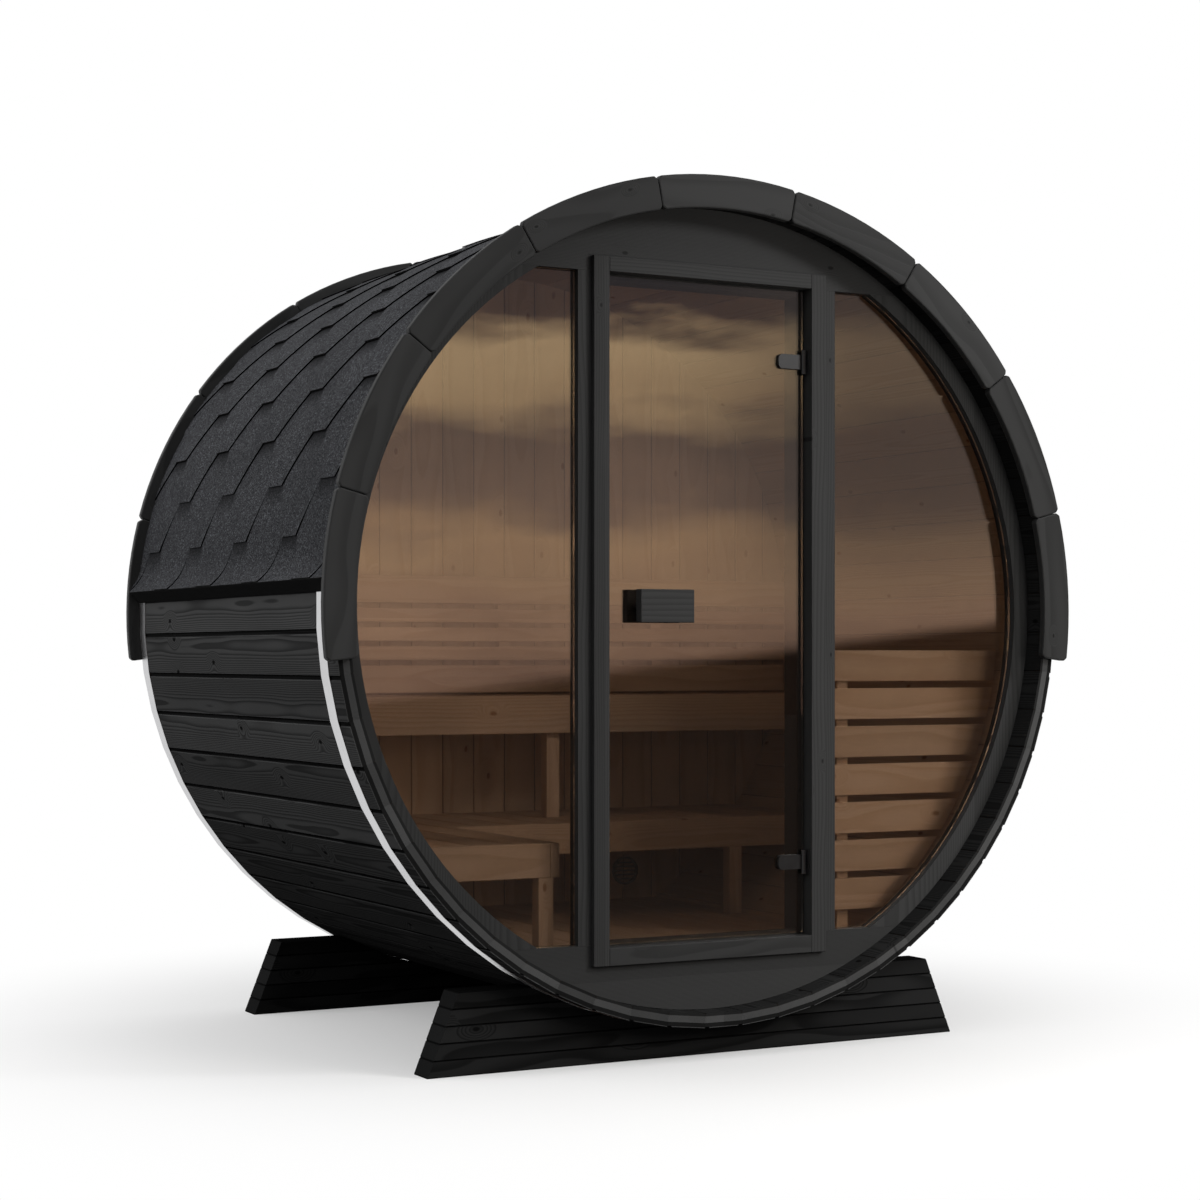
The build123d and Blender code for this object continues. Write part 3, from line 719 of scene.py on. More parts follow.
@dataclass(frozen=True)
class MattCoat(Finish):
    """Black surface that changes slowly between two tones, and may be finely speckled."""

    dark: Colour
    light: Colour
    frequency: float
    rough: tuple[float, float]
    sheen: float = 0.5
    speckle: float = 0.0

    def paint(self, sheet: Sheet, shader: Node, shop: "Workshop") -> None:
        """Paints the two tones.

        Args:
            sheet: The material's nodes.
            shader: Its shader.
            shop: The shared node groups.
        """
        patch = shop.patch(sheet, self.frequency)
        sheet.fill(shader, Base_Color=sheet.mix(patch, self.dark, self.light),
                   Roughness=sheet.smooth(patch, 0.3, 0.7, *self.rough),
                   Specular_IOR_Level=self.sheen)
        if self.speckle:
            fine = sheet.noise(sheet.point(), self.speckle, 1.0)
            sheet.fill(shader, Normal=sheet.bump(fine, 0.25, 0.0002))


CUT_EDGE = MattCoat("shingle_cut_edge", (0.001, 0.001, 0.001), (0.004, 0.004, 0.004), 60.0,
                    (0.75, 0.92), sheen=0.03)
POWDER_BLACK = MattCoat("powder_black_metal", (0.008, 0.008, 0.009), (0.020, 0.020, 0.021), 40.0,
                        (0.36, 0.5), speckle=1800.0)


@dataclass(frozen=True)
class BandSteel(Finish):
    """Stainless band, brushed along its length, with faint smears."""

    tint: Colour = (0.58, 0.58, 0.59)
    brush: tuple[float, float] = (6.0, 2600.0)

    def paint(self, sheet: Sheet, shader: Node, shop: "Workshop") -> None:
        """Paints the brushed steel.

        Args:
            sheet: The material's nodes.
            shader: Its shader.
            shop: The shared node groups.
        """
        x, y, z = sheet.split(sheet.point())
        angle = sheet.maths("ARCTAN2", x, sheet.minus(z, BARREL.axis_height))
        lines = sheet.join(sheet.times(angle, self.brush[0]), sheet.times(y, self.brush[1]))
        brushed = sheet.noise(lines, 1.0, 3.0, 0.6)
        smear = sheet.smooth(shop.patch(sheet, 5.0), 0.4, 0.75)
        sheet.fill(shader, Base_Color=sheet.mix(smear, self.tint, shade(self.tint, 0.9)),
                   Roughness=sheet.smooth(brushed, 0.3, 0.7, 0.30, 0.44), Metallic=1.0,
                   Normal=sheet.bump(brushed, 0.15, 0.0002))


@dataclass(frozen=True)
class BronzeGlass(Finish):
    """Bronze tinted glass, which daylight passes on its way into the cabin."""

    tint: Colour = (0.70, 0.64, 0.59)
    index: float = 1.52
    coat_index: float = 1.9

    def paint(self, sheet: Sheet, shader: Node, shop: "Workshop") -> None:
        """Paints the glass and lets it cast a tinted shadow.

        Args:
            sheet: The material's nodes.
            shader: Its shader.
            shop: The shared node groups.
        """
        smear = shop.patch(sheet, 3.0)
        colour = sheet.mix(sheet.smooth(smear, 0.3, 0.7), self.tint, shade(self.tint, 0.97))
        sheet.fill(shader, Base_Color=colour, IOR=self.index, Transmission_Weight=1.0,
                   Roughness=sheet.smooth(smear, 0.45, 0.8, 0.0, 0.012),
                   Coat_Weight=1.0, Coat_IOR=self.coat_index, Coat_Roughness=0.0)
        clear = sheet.fill(sheet.node("BsdfTransparent"), Color=self.tint)
        shadow = sheet.node("LightPath").outputs["Is Shadow Ray"]
        surface = sheet.blend(shadow, shader.outputs[0], clear.outputs[0])
        sheet.fill(sheet.find("OUTPUT_MATERIAL"), Surface=surface)


BRONZE = BronzeGlass("bronze_glass")


@dataclass(frozen=True)
class Barrel:
    """The barrel's main sizes, in metres, with the height of its axis read from the solids."""

    axis_height: float
    outer_radius: float = 1.010
    inner_radius: float = 0.975
    stave_pitch: float = math.radians(6.0)
    fascia_pitch: float = math.radians(194.1 / 9)

    @staticmethod
    def measured() -> "Barrel":
        """Reads the axis from the front band."""
        low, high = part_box("band_front")
        return Barrel(axis_height=(low.z + high.z) / 2)


def around(radius: float, angle: float) -> Vector:
    """Point on the right of the barrel's section at a radius and an angle above the axis."""
    return Vector((radius * math.cos(angle), 0.0, BARREL.axis_height + radius * math.sin(angle)))


@dataclass(frozen=True)
class RoofPlan:
    """Lay of the shingles, in metres: slopes are lengths along the roof from the axis level."""

    outer_radius: float = 1.0200
    sheet_thickness: float = 0.0032
    lift: float = 0.0036
    exposure: float = 0.1304
    first_row: float = 0.1650
    tab_pitch: float = 0.3330
    flat_width: float = 0.0870
    slant_width: float = 0.0800
    phase: float = -0.0749
    row_count: int = 11
    half_length: float = 0.6995
    flare_start: float = math.radians(7.2)
    flare_angle: float = math.radians(38.4)
    flare_radius: float = 0.1110
    head_reach: float = 1.10
    cap_lift: float = 0.0045
    cap_half: float = 0.125
    cap_length: float = 0.290
    cap_step: float = 0.1455
    cap_count: int = 10
    cap_start: float = 0.6990 - 0.145
    cap_tilt: float = math.radians(1.25)
    cap_thickness: float = 0.0026
    ridge_gap: float = 0.0005

    @property
    def flare_slope(self) -> float:
        """Slope at which the flare begins."""
        return self.flare_start * self.outer_radius

    @property
    def eave_slope(self) -> float:
        """Slope of the eave edge."""
        return self.flare_slope - self.flare_angle * self.flare_radius

    def section(self, slope: float, depth: float) -> Vector:
        """Finds a point of the roof's section on the right.

        Args:
            slope: Length along the roof.
            depth: How far the point lies under the outer face.

        Returns:
            The point, at Y 0.
        """
        if slope >= self.flare_slope:
            return around(self.outer_radius - depth, slope / self.outer_radius)
        centre = around(self.outer_radius + self.flare_radius, self.flare_start)
        turn = self.flare_start + math.pi + (self.flare_slope - slope) / self.flare_radius
        return centre + Vector((math.cos(turn), 0.0, math.sin(turn))) * (self.flare_radius + depth)


BARREL = Barrel.measured()
ROOF = RoofPlan()
WALL_FRONT, WALL_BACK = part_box("mullion_left")[0].y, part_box("mullion_left")[1].y
REAR_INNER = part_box("rear_wall")[0].y
INSIDE = BareInside(WALL_BACK - 0.002, REAR_INNER + 0.004)


def choose(piece: Piece) -> None:
    """Selects one object alone and makes it active."""
    bpy.ops.object.select_all(action="DESELECT")
    piece.select_set(True)
    bpy.context.view_layer.objects.active = piece


def apply_modifier(piece: Piece, kind: str, **settings: object) -> None:
    """Adds a modifier and applies it at once.

    Args:
        piece: The active object.
        kind: The modifier's type.
        settings: Its properties.
    """
    modifier = piece.modifiers.new(kind.title(), kind)
    for name, value in settings.items():
        setattr(modifier, name, value)
    bpy.ops.object.modifier_apply(modifier=modifier.name)


def finish_piece(piece: Piece, body: str, slot: str, *replaced: str) -> None:
    """Hangs a finished piece on its body and reports it.

    Args:
        piece: The piece, with its place in its mesh.
        body: The body that it rides on.
        slot: The record's material slot; not used.
        replaced: The nodes that it stands for.
    """
    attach(piece, body)
    if replaced:
        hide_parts(*replaced)
    LOG.info("%s: %d faces on %s", piece.name, len(piece.data.polygons), body)


@dataclass
class Workshop:
    """Node groups that the finishes share, and the materials made so far, each built once."""

    grain: Tree = field(default_factory=lambda: GrainEffect().build())
    uneven: Tree = field(default_factory=lambda: UnevenEffect().build())
    made: dict[Finish, Material] = field(default_factory=dict)
    weld: float = 2e-5
    flat: float = math.radians(1.0)
    sharp: float = math.radians(30.0)

    def patch(self, sheet: Sheet, frequency: float) -> Socket:
        """Reads the uneven mask on a piece."""
        return sheet.use(self.uneven, Point=sheet.point(), Frequency=frequency).outputs["Mask"]

    def material(self, finish: Finish) -> Material:
        """Gives a finish's material, which is built when it is first asked for."""
        if finish not in self.made:
            self.made[finish] = finish.build(self)
        return self.made[finish]

    def dress(self, names: list[str], finish: Finish) -> None:
        """Gives nodes a finish and reports each.

        Args:
            names: The nodes.
            finish: Their finish.
        """
        for name in names:
            for slot in frame["nodes"][name].material_slots:
                slot.material = self.material(finish)
            LOG.info("%s: %s", name, finish.name)

    def ease(self, names: list[str], finish: Finish, width: float, slot: str,
             body: str = "sauna") -> None:
        """Stands eased and finished copies in for nodes.

        Args:
            names: The nodes.
            finish: Their finish.
            width: The width of the eased edges.
            slot: The nodes' material slot.
            body: The body that they belong to.
        """
        for name in names:
            choose(frame["nodes"][name])
            bpy.ops.object.duplicate()
            piece = bpy.context.active_object
            piece.name = piece.data.name = f"{name}_eased"
            del piece["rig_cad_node"]
            bpy.ops.object.parent_clear(type="CLEAR_KEEP_TRANSFORM")
            bpy.ops.object.transform_apply()
            bpy.ops.object.mode_set(mode="EDIT")
            bpy.ops.mesh.select_mode(type="VERT")
            bpy.ops.mesh.select_all(action="SELECT")
            bpy.ops.mesh.remove_doubles(threshold=self.weld)
            bpy.ops.mesh.dissolve_limited(angle_limit=self.flat)
            bpy.ops.object.mode_set(mode="OBJECT")
            apply_modifier(piece, "BEVEL", width=width, segments=2, limit_method="ANGLE",
                           angle_limit=self.sharp)
            bpy.ops.object.shade_flat()
            piece.data.materials.clear()
            piece.data.materials.append(self.material(finish))
            finish_piece(piece, body, slot, name)


@dataclass(frozen=True)
class ShingleRoof:
    """Hexagonal shingles in courses over both sides, an eave strip below and caps on the ridge."""

    plan: RoofPlan = ROOF
    tab_count: int = 6
    head_steps: int = 6
    tab_steps: int = 10
    strip_steps: int = 16
    cap_steps: int = 8
    near: float = 1e-4
    weld: float = 1e-5

    def edge(self, name: str, width: float, place: Vector) -> Piece:
        """Draws one edge along Y, from a plane that is drawn together.

        Args:
            name: The new object's name.
            width: The edge's length.
            place: Its middle.

        Returns:
            The object, in edit mode with the edge selected.
        """
        bpy.ops.object.select_all(action="DESELECT")
        bpy.ops.mesh.primitive_plane_add(size=width, location=place)
        piece = bpy.context.active_object
        piece.name = piece.data.name = name
        bpy.ops.object.transform_apply()
        bpy.ops.object.mode_set(mode="EDIT")
        bpy.ops.mesh.select_mode(type="VERT")
        bpy.ops.mesh.select_all(action="SELECT")
        bpy.ops.transform.resize(value=(0.0, 1.0, 1.0), center_override=place)
        bpy.ops.mesh.remove_doubles(threshold=self.weld)
        return piece

    @staticmethod
    def sweep(places: list[Vector], widths: list[float] | None = None) -> None:
        """Extrudes the selected edges from place to place.

        Args:
            places: Points that the edges pass, the first of which is where they are.
            widths: Their length along Y at each place, or none to keep it.
        """
        for index in range(1, len(places)):
            step = places[index] - places[index - 1]
            bpy.ops.mesh.extrude_region_move(TRANSFORM_OT_translate={"value": step})
            if widths:
                ratio = widths[index] / widths[index - 1]
                bpy.ops.transform.resize(value=(1.0, ratio, 1.0), center_override=places[index])

    @staticmethod
    def pick(test: Callable[[Vector], bool]) -> None:
        """Selects vertices of the piece in edit mode.

        Args:
            test: Tells from a vertex's place whether it is selected.
        """
        bpy.ops.mesh.select_all(action="DESELECT")
        bpy.ops.object.mode_set(mode="OBJECT")
        for vertex in bpy.context.active_object.data.vertices:
            vertex.select = test(vertex.co)
        bpy.ops.object.mode_set(mode="EDIT")

    def sheet(self, name: str, width: float, places: list[Vector]) -> Piece:
        """Draws a sheet of one width.

        Args:
            name: The new object's name.
            width: Its length along Y.
            places: Points of the roof's section that it passes.

        Returns:
            The sheet, one face thick.
        """
        piece = self.edge(name, width, places[0])
        self.sweep(places)
        bpy.ops.object.mode_set(mode="OBJECT")
        return piece

    def tab(self, name: str, low: float, start: float) -> Piece:
        """Models one tab with its slanted corners and the sheet above it, from the head down.

        Args:
            name: The new object's name.
            low: Slope of the tab's lower edge.
            start: Slope at which the sheet ends, above low where the eave cuts it.

        Returns:
            The tab, on the right.
        """
        plan, neck = self.plan, self.head_steps
        high = low + plan.exposure
        slopes = [high + plan.head_reach * plan.exposure * (1 - i / neck) for i in range(neck)]
        slopes += [high + (start - high) * i / self.tab_steps for i in range(self.tab_steps + 1)]
        places = [plan.section(s, plan.lift * (s - low) / plan.exposure) for s in slopes]
        slants = 2 * plan.slant_width
        widths = [plan.flat_width + slants * (s - low) / plan.exposure for s in slopes]
        half = widths[neck] / 2
        piece = self.edge(name, widths[neck], places[0])
        rest = (plan.tab_pitch - widths[neck]) / 2
        for side in (-1.0, 1.0):
            self.pick(lambda v: v.y * side > half - self.near)
            step = (0.0, side * rest, 0.0)
            bpy.ops.mesh.extrude_region_move(TRANSFORM_OT_translate={"value": step})
        bpy.ops.mesh.select_all(action="SELECT")
        self.sweep(places[:neck + 1])
        self.pick(lambda v: abs(v.y) < half + self.near and abs(v.z - places[neck].z) < self.near)
        self.sweep(places[neck:], widths[neck:])
        bpy.ops.object.mode_set(mode="OBJECT")
        return piece

    @staticmethod
    def trim(planes: list[Plane]) -> None:
        """Cuts the active piece by planes.

        Args:
            planes: A point and a normal of each: what lies ahead of the normal is dropped.
        """
        bpy.ops.object.mode_set(mode="EDIT")
        for point, normal in planes:
            bpy.ops.mesh.select_all(action="SELECT")
            bpy.ops.mesh.bisect(plane_co=point, plane_no=normal, clear_outer=True)
        bpy.ops.object.mode_set(mode="OBJECT")

    def ends(self) -> list[Plane]:
        """Gives the planes at the front and rear ends of the roof."""
        half = self.plan.half_length
        return [(Vector((0.0, s * half, 0.0)), Vector((0.0, s, 0.0))) for s in (-1.0, 1.0)]

    def course(self, tab: Piece, row: int) -> Piece:
        """Lays one course from copies of a tab.

        Args:
            tab: The finished tab.
            row: The course's number above the eave course, which is 0.

        Returns:
            The course, trimmed at both ends and at the ridge.
        """
        plan = self.plan
        piece = bpy.data.objects.new(f"course_{row:02d}", tab.data.copy())
        bpy.context.scene.collection.objects.link(piece)
        choose(piece)
        apply_modifier(piece, "ARRAY", count=self.tab_count, use_relative_offset=False,
                       use_constant_offset=True, use_merge_vertices=True, merge_threshold=self.near,
                       constant_offset_displace=(0.0, plan.tab_pitch, 0.0))
        shift = plan.phase + ((row + 1) % 2) * plan.tab_pitch / 2
        shift -= self.tab_count // 2 * plan.tab_pitch
        angle = max(row - 1, 0) * plan.exposure / plan.outer_radius
        axis = Vector((0.0, 0.0, BARREL.axis_height))
        turn = Matrix.Rotation(-angle, 4, "Y")
        turn = Matrix.Translation(axis) @ turn @ Matrix.Translation(-axis)
        piece.matrix_world = Matrix.Translation((0.0, shift, 0.0)) @ turn
        bpy.ops.object.transform_apply()
        ridge = (Vector((plan.ridge_gap, 0.0, 0.0)), Vector((-1.0, 0.0, 0.0)))
        self.trim(self.ends() + [ridge])
        return piece

    def side(self, label: str, tabs: list[Piece]) -> Piece:
        """Covers one side of the barrel.

        Args:
            label: "left" or "right".
            tabs: The eave course's tab and the tab of the courses above.

        Returns:
            The side's shingles as one open sheet.
        """
        plan = self.plan
        parts = [self.course(tabs[min(row, 1)], row) for row in range(plan.row_count + 1)]
        top = plan.first_row + plan.exposure
        steps, low = self.strip_steps, plan.eave_slope
        slopes = [low + (top - low) * i / steps for i in range(steps + 1)]
        places = [plan.section(s, plan.lift) for s in slopes]
        parts.append(self.sheet("eave_strip", 2 * plan.half_length, places))
        bpy.ops.object.select_all(action="DESELECT")
        for part in parts:
            part.select_set(True)
        piece = parts[0]
        bpy.context.view_layer.objects.active = piece
        bpy.ops.object.join()
        piece.name = piece.data.name = f"shingle_courses_{label}"
        if label == "left":
            piece.scale.x = -1.0
            bpy.ops.object.transform_apply()
        return piece

    @staticmethod
    def close(piece: Piece, thickness: float, shop: Workshop) -> None:
        """Faces an open sheet away from the barrel's axis and gives it its thickness.

        Args:
            piece: The sheet.
            thickness: How far it is thickened inwards.
            shop: The shared groups and materials.
        """
        axis = Vector((0.0, 0.0, BARREL.axis_height))
        choose(piece)
        for face in piece.data.polygons:
            away = face.center - axis
            face.select = face.normal.dot(Vector((away.x, 0.0, away.z))) < 0.0
        bpy.ops.object.mode_set(mode="EDIT")
        bpy.ops.mesh.flip_normals()
        bpy.ops.object.mode_set(mode="OBJECT")
        piece.data.materials.clear()
        for finish in (Granules("shingle_granules"), CUT_EDGE):
            piece.data.materials.append(shop.material(finish))
        apply_modifier(piece, "SOLIDIFY", thickness=thickness, offset=-1.0, material_offset_rim=1)

    def ridge(self) -> Piece:
        """Lays overlapping caps along the ridge.

        Returns:
            The caps as one piece.
        """
        plan, steps = self.plan, self.cap_steps
        radius = plan.outer_radius + plan.cap_lift
        half = plan.cap_half / radius
        angles = [math.pi / 2 - half + 2 * half * i / steps for i in range(steps + 1)]
        cap = self.sheet("ridge_caps", plan.cap_length, [around(radius, a) for a in angles])
        top = Vector((0.0, 0.0, BARREL.axis_height + radius))
        tilt = Matrix.Rotation(plan.cap_tilt, 4, "X")
        cap.matrix_world = Matrix.Translation(top) @ tilt @ Matrix.Translation(-top)
        bpy.ops.object.transform_apply()
        apply_modifier(cap, "ARRAY", count=plan.cap_count, use_relative_offset=False,
                       use_constant_offset=True,
                       constant_offset_displace=(0.0, -plan.cap_step, 0.0))
        cap.location.y = plan.cap_start
        bpy.ops.object.transform_apply()
        self.trim(self.ends())
        return cap

    def build(self, shop: Workshop) -> None:
        """Builds both sides and the ridge, in place of the plain coverings.

        Args:
            shop: The shared groups and materials.
        """
        plan = self.plan
        tabs = [self.tab("eave_tab", plan.first_row - plan.exposure, plan.eave_slope),
                self.tab("shingle_tab", plan.first_row, plan.first_row)]
        for label in ("left", "right"):
            piece = self.side(label, tabs)
            self.close(piece, plan.sheet_thickness, shop)
            finish_piece(piece, "sauna", "bitumen_shingle", f"shingles_{label}")
        caps = self.ridge()
        self.close(caps, plan.cap_thickness, shop)
        finish_piece(caps, "sauna", "bitumen_shingle")
        for tab in tabs:
            bpy.data.objects.remove(tab)


@dataclass(frozen=True)
class Shell:
    """Staves, bands, fascias and eave boards."""

    stave_groups: int = 10
    bare_front: float = 0.030
    bare_rear: float = 0.010
    bare_lap: float = 0.012
    fascia_edge: float = 0.0035

    def build(self, shop: Workshop) -> None:
        """Dresses the barrel's shell.

        Args:
            shop: The shared groups and materials.
        """
        bare = BareInside(WALL_BACK + self.bare_front, REAR_INNER + self.bare_rear,
                          BARREL.inner_radius + self.bare_lap)
        # Staves get dark joint lines, and painted shade in their rebates and at the barrel's mouth.
        shop.dress([f"staves_{i:02d}" for i in range(1, self.stave_groups + 1)],
                   Wood("stained_staves", Boards(Run.STAVES, BARREL.stave_pitch), STAIN, bare,
                        joints=StaveJointsAndShade()))
        shop.dress(["band_front", "band_rear"], BandSteel("stainless_band"))
        fascia = Wood("stained_fascia", Boards(Run.FASCIA, BARREL.fascia_pitch), SATIN_STAIN,
                      knot=0.004)
        shop.ease(["fascia_front", "fascia_rear"], fascia, self.fascia_edge, "black_wood")
        # The eave boards take the darker stain as painted shade under the flare.
        shop.dress(["eave_board_left", "eave_board_right"],
                   Wood("stained_eave_board", Boards(Run.DEEP, 0.5, -0.25), SHADED_STAIN))


@dataclass(frozen=True)
class FrontWall:
    """Panels, ring, mullions, door frame and windows."""

    frame_edge: float = 0.0015
    panel_knot: float = 0.006
    slim_knot: float = 0.004

    def stained(self, name: str, boards: Boards, inside: BareInside | None = INSIDE) -> Wood:
        """Gives the stain of a slim piece, which is bare inside the cabin unless told otherwise."""
        return Wood(name, boards, SATIN_STAIN, inside, knot=self.slim_knot)

    def build(self, shop: Workshop) -> None:
        """Dresses the glazed wall.

        Args:
            shop: The shared groups and materials.
        """
        upright, wide = Boards(Run.UPRIGHT, 0.5, -1.2), Boards(Run.SIDEWAYS, 2.0, 0.2)
        jamb = self.stained("stained_jamb", Boards(Run.UPRIGHT, 0.5, -1.3), None)
        rail = self.stained("stained_door_rail", Boards(Run.SIDEWAYS, 0.5), None)
        shop.dress(["front_panel_top", "front_panel_bottom"],
                   Wood("stained_wall_panel", wide, SATIN_STAIN, INSIDE, knot=self.panel_knot))
        shop.dress(["front_ring_left", "front_ring_right"],
                   self.stained("stained_wall_ring", upright))
        shop.dress(["mullion_left", "mullion_right"], self.stained("stained_mullion", upright))
        for names, finish in ((["door_frame_left", "door_frame_right"], jamb),
                              (["door_frame_top", "door_frame_bottom"], rail)):
            shop.ease(names, finish, self.frame_edge, "black_wood")
        shop.dress(["window_glass_left", "window_glass_right"], BRONZE)


@dataclass(frozen=True)
class Door:
    """Glass door with its clamps, plates and block handles."""

    clamp_edge: float = 0.0008
    handle_ring: float = 0.0032
    handle_knot: float = 0.001

    def build(self, shop: Workshop) -> None:
        """Dresses the door.

        Args:
            shop: The shared groups and materials.
        """
        handle = Wood("stained_handle", Boards(Run.SIDEWAYS, 0.5), SATIN_STAIN, None,
                      self.handle_ring, self.handle_knot)
        shop.dress(["door_glass"], BRONZE)
        shop.ease(["hinge_clamp_upper", "hinge_clamp_lower"], POWDER_BLACK, self.clamp_edge,
                  "black_metal", "door")
        shop.dress(["hinge_jamb_plates"], POWDER_BLACK)
        shop.dress(["handle_outside", "handle_inside"], handle)


@dataclass(frozen=True)
class Cabin:
    """Rear wall, floor, benches, backrest and screen: a pitch and a first joint each."""

    rear_boards: tuple[float, float] = (0.0973, 0.0185)
    rear_bare: float = 0.020
    rear_seam: float = 0.002
    floor_boards: tuple[float, float] = (0.095, 0.0475)
    lower_boards: tuple[float, float] = (0.098, -0.408)
    upper_boards: tuple[float, float] = (0.098, 0.049)
    aprons: tuple[float, float] = (0.3, 0.3)
    posts: tuple[float, float] = (0.2, -1.05)
    slats: tuple[float, float] = (0.055, 0.862)
    screen: tuple[float, float] = (0.098, 0.314)
    edge: float = 0.002

    def build(self, shop: Workshop) -> None:
        """Dresses what shows through the glass.

        Args:
            shop: The shared groups and materials.
        """
        outside = BareInside(REAR_INNER + self.rear_bare, 2.0)
        rear = Wood("bare_rear_boards", Boards(Run.UPRIGHT, *self.rear_boards), BARE, outside,
                    seam=self.rear_seam)
        shop.dress(["rear_wall"], rear)
        shop.dress(["vent_grilles"], POWDER_BLACK)
        for node, finish, boards in (
                ("floor", "bare_floor", Boards(Run.DEEP, *self.floor_boards)),
                ("floor_bearers", "bare_bearers", Boards(Run.SIDEWAYS)),
                ("lower_bench_top", "bare_lower_bench", Boards(Run.DEEP, *self.lower_boards)),
                ("upper_bench_top", "bare_upper_bench", Boards(Run.DEEP, *self.upper_boards))):
            shop.dress([node], Wood(finish, boards, BARE))
        for nodes, finish, boards in (
                (["lower_bench_aprons", "upper_bench_apron"], "bare_aprons",
                 Boards(Run.SIDEWAYS, *self.aprons)),
                (["lower_bench_legs", "upper_bench_post"], "bare_posts",
                 Boards(Run.UPRIGHT, *self.posts)),
                (["backrest"], "bare_slats", Boards(Run.SIDEWAYS, *self.slats)),
                (["slatted_screen"], "bare_screen", Boards(Run.SIDEWAYS, *self.screen))):
            shop.ease(nodes, Wood(finish, boards, BARE), self.edge, "light_wood")


@dataclass(frozen=True)
class Cradles:
    """Two cradles of five flat boards."""

    board: float = 0.039
    seam: float = 0.003

    def build(self, shop: Workshop) -> None:
        """Dresses the cradles.

        Args:
            shop: The shared groups and materials.
        """
        boards = Boards(Run.SIDEWAYS, self.board)
        # The cradles' darker stain is painted shade.
        shop.dress(["cradle_front", "cradle_rear"],
                   Wood("stained_cradle", boards, SHADED_CRADLE_STAIN, seam=self.seam))


@dataclass(frozen=True)
class PaleFloor(Finish):
    """Floor that keeps the barrel's shadow and fades to plain white away from it."""

    seen: Colour = (0.9, 0.9, 0.9)
    unseen: Colour = (0.05, 0.05, 0.05)
    shadow_lift: float = 0.3
    fade: tuple[float, float] = (1.0, 2.2)

    def paint(self, sheet: Sheet, shader: Node, shop: Workshop) -> None:
        """Paints the floor.

        Args:
            sheet: The material's nodes.
            shader: Its shader.
            shop: The shared node groups; not used.
        """
        direct = sheet.node("LightPath").outputs["Is Camera Ray"]
        sheet.fill(shader, Base_Color=sheet.mix(direct, self.unseen, self.seen), Roughness=0.9,
                   Specular_IOR_Level=0.0)
        white = sheet.node("Emission").outputs[0]
        lit = sheet.blend(sheet.times(direct, self.shadow_lift), shader.outputs[0], white)
        x, y, _ = sheet.split(sheet.point())
        away = sheet.smooth(sheet.length(x, y), *self.fade)
        surface = sheet.blend(sheet.times(direct, away), lit, white)
        sheet.fill(sheet.find("OUTPUT_MATERIAL"), Surface=surface)


@dataclass(frozen=True)
class SoftLamp:
    """One large area lamp aimed at a point."""

    name: str
    place: tuple[float, float, float]
    aim: tuple[float, float, float]
    size: float
    power: float
    tint: Colour = (1.0, 1.0, 1.0)
    mirrored: bool = False

    def build(self) -> None:
        """Adds the lamp."""
        data = bpy.data.lights.new(self.name, "AREA")
        data.shape = "SQUARE"
        data.size = self.size
        data.energy = self.power
        data.color = self.tint
        lamp = bpy.data.objects.new(self.name, data)
        bpy.context.scene.collection.objects.link(lamp)
        lamp.location = self.place
        toward = Vector(self.aim) - Vector(self.place)
        lamp.rotation_euler = toward.to_track_quat("-Z", "Y").to_euler()
        lamp.visible_glossy = self.mirrored
        lamp.visible_transmission = False
        lamp.visible_camera = False


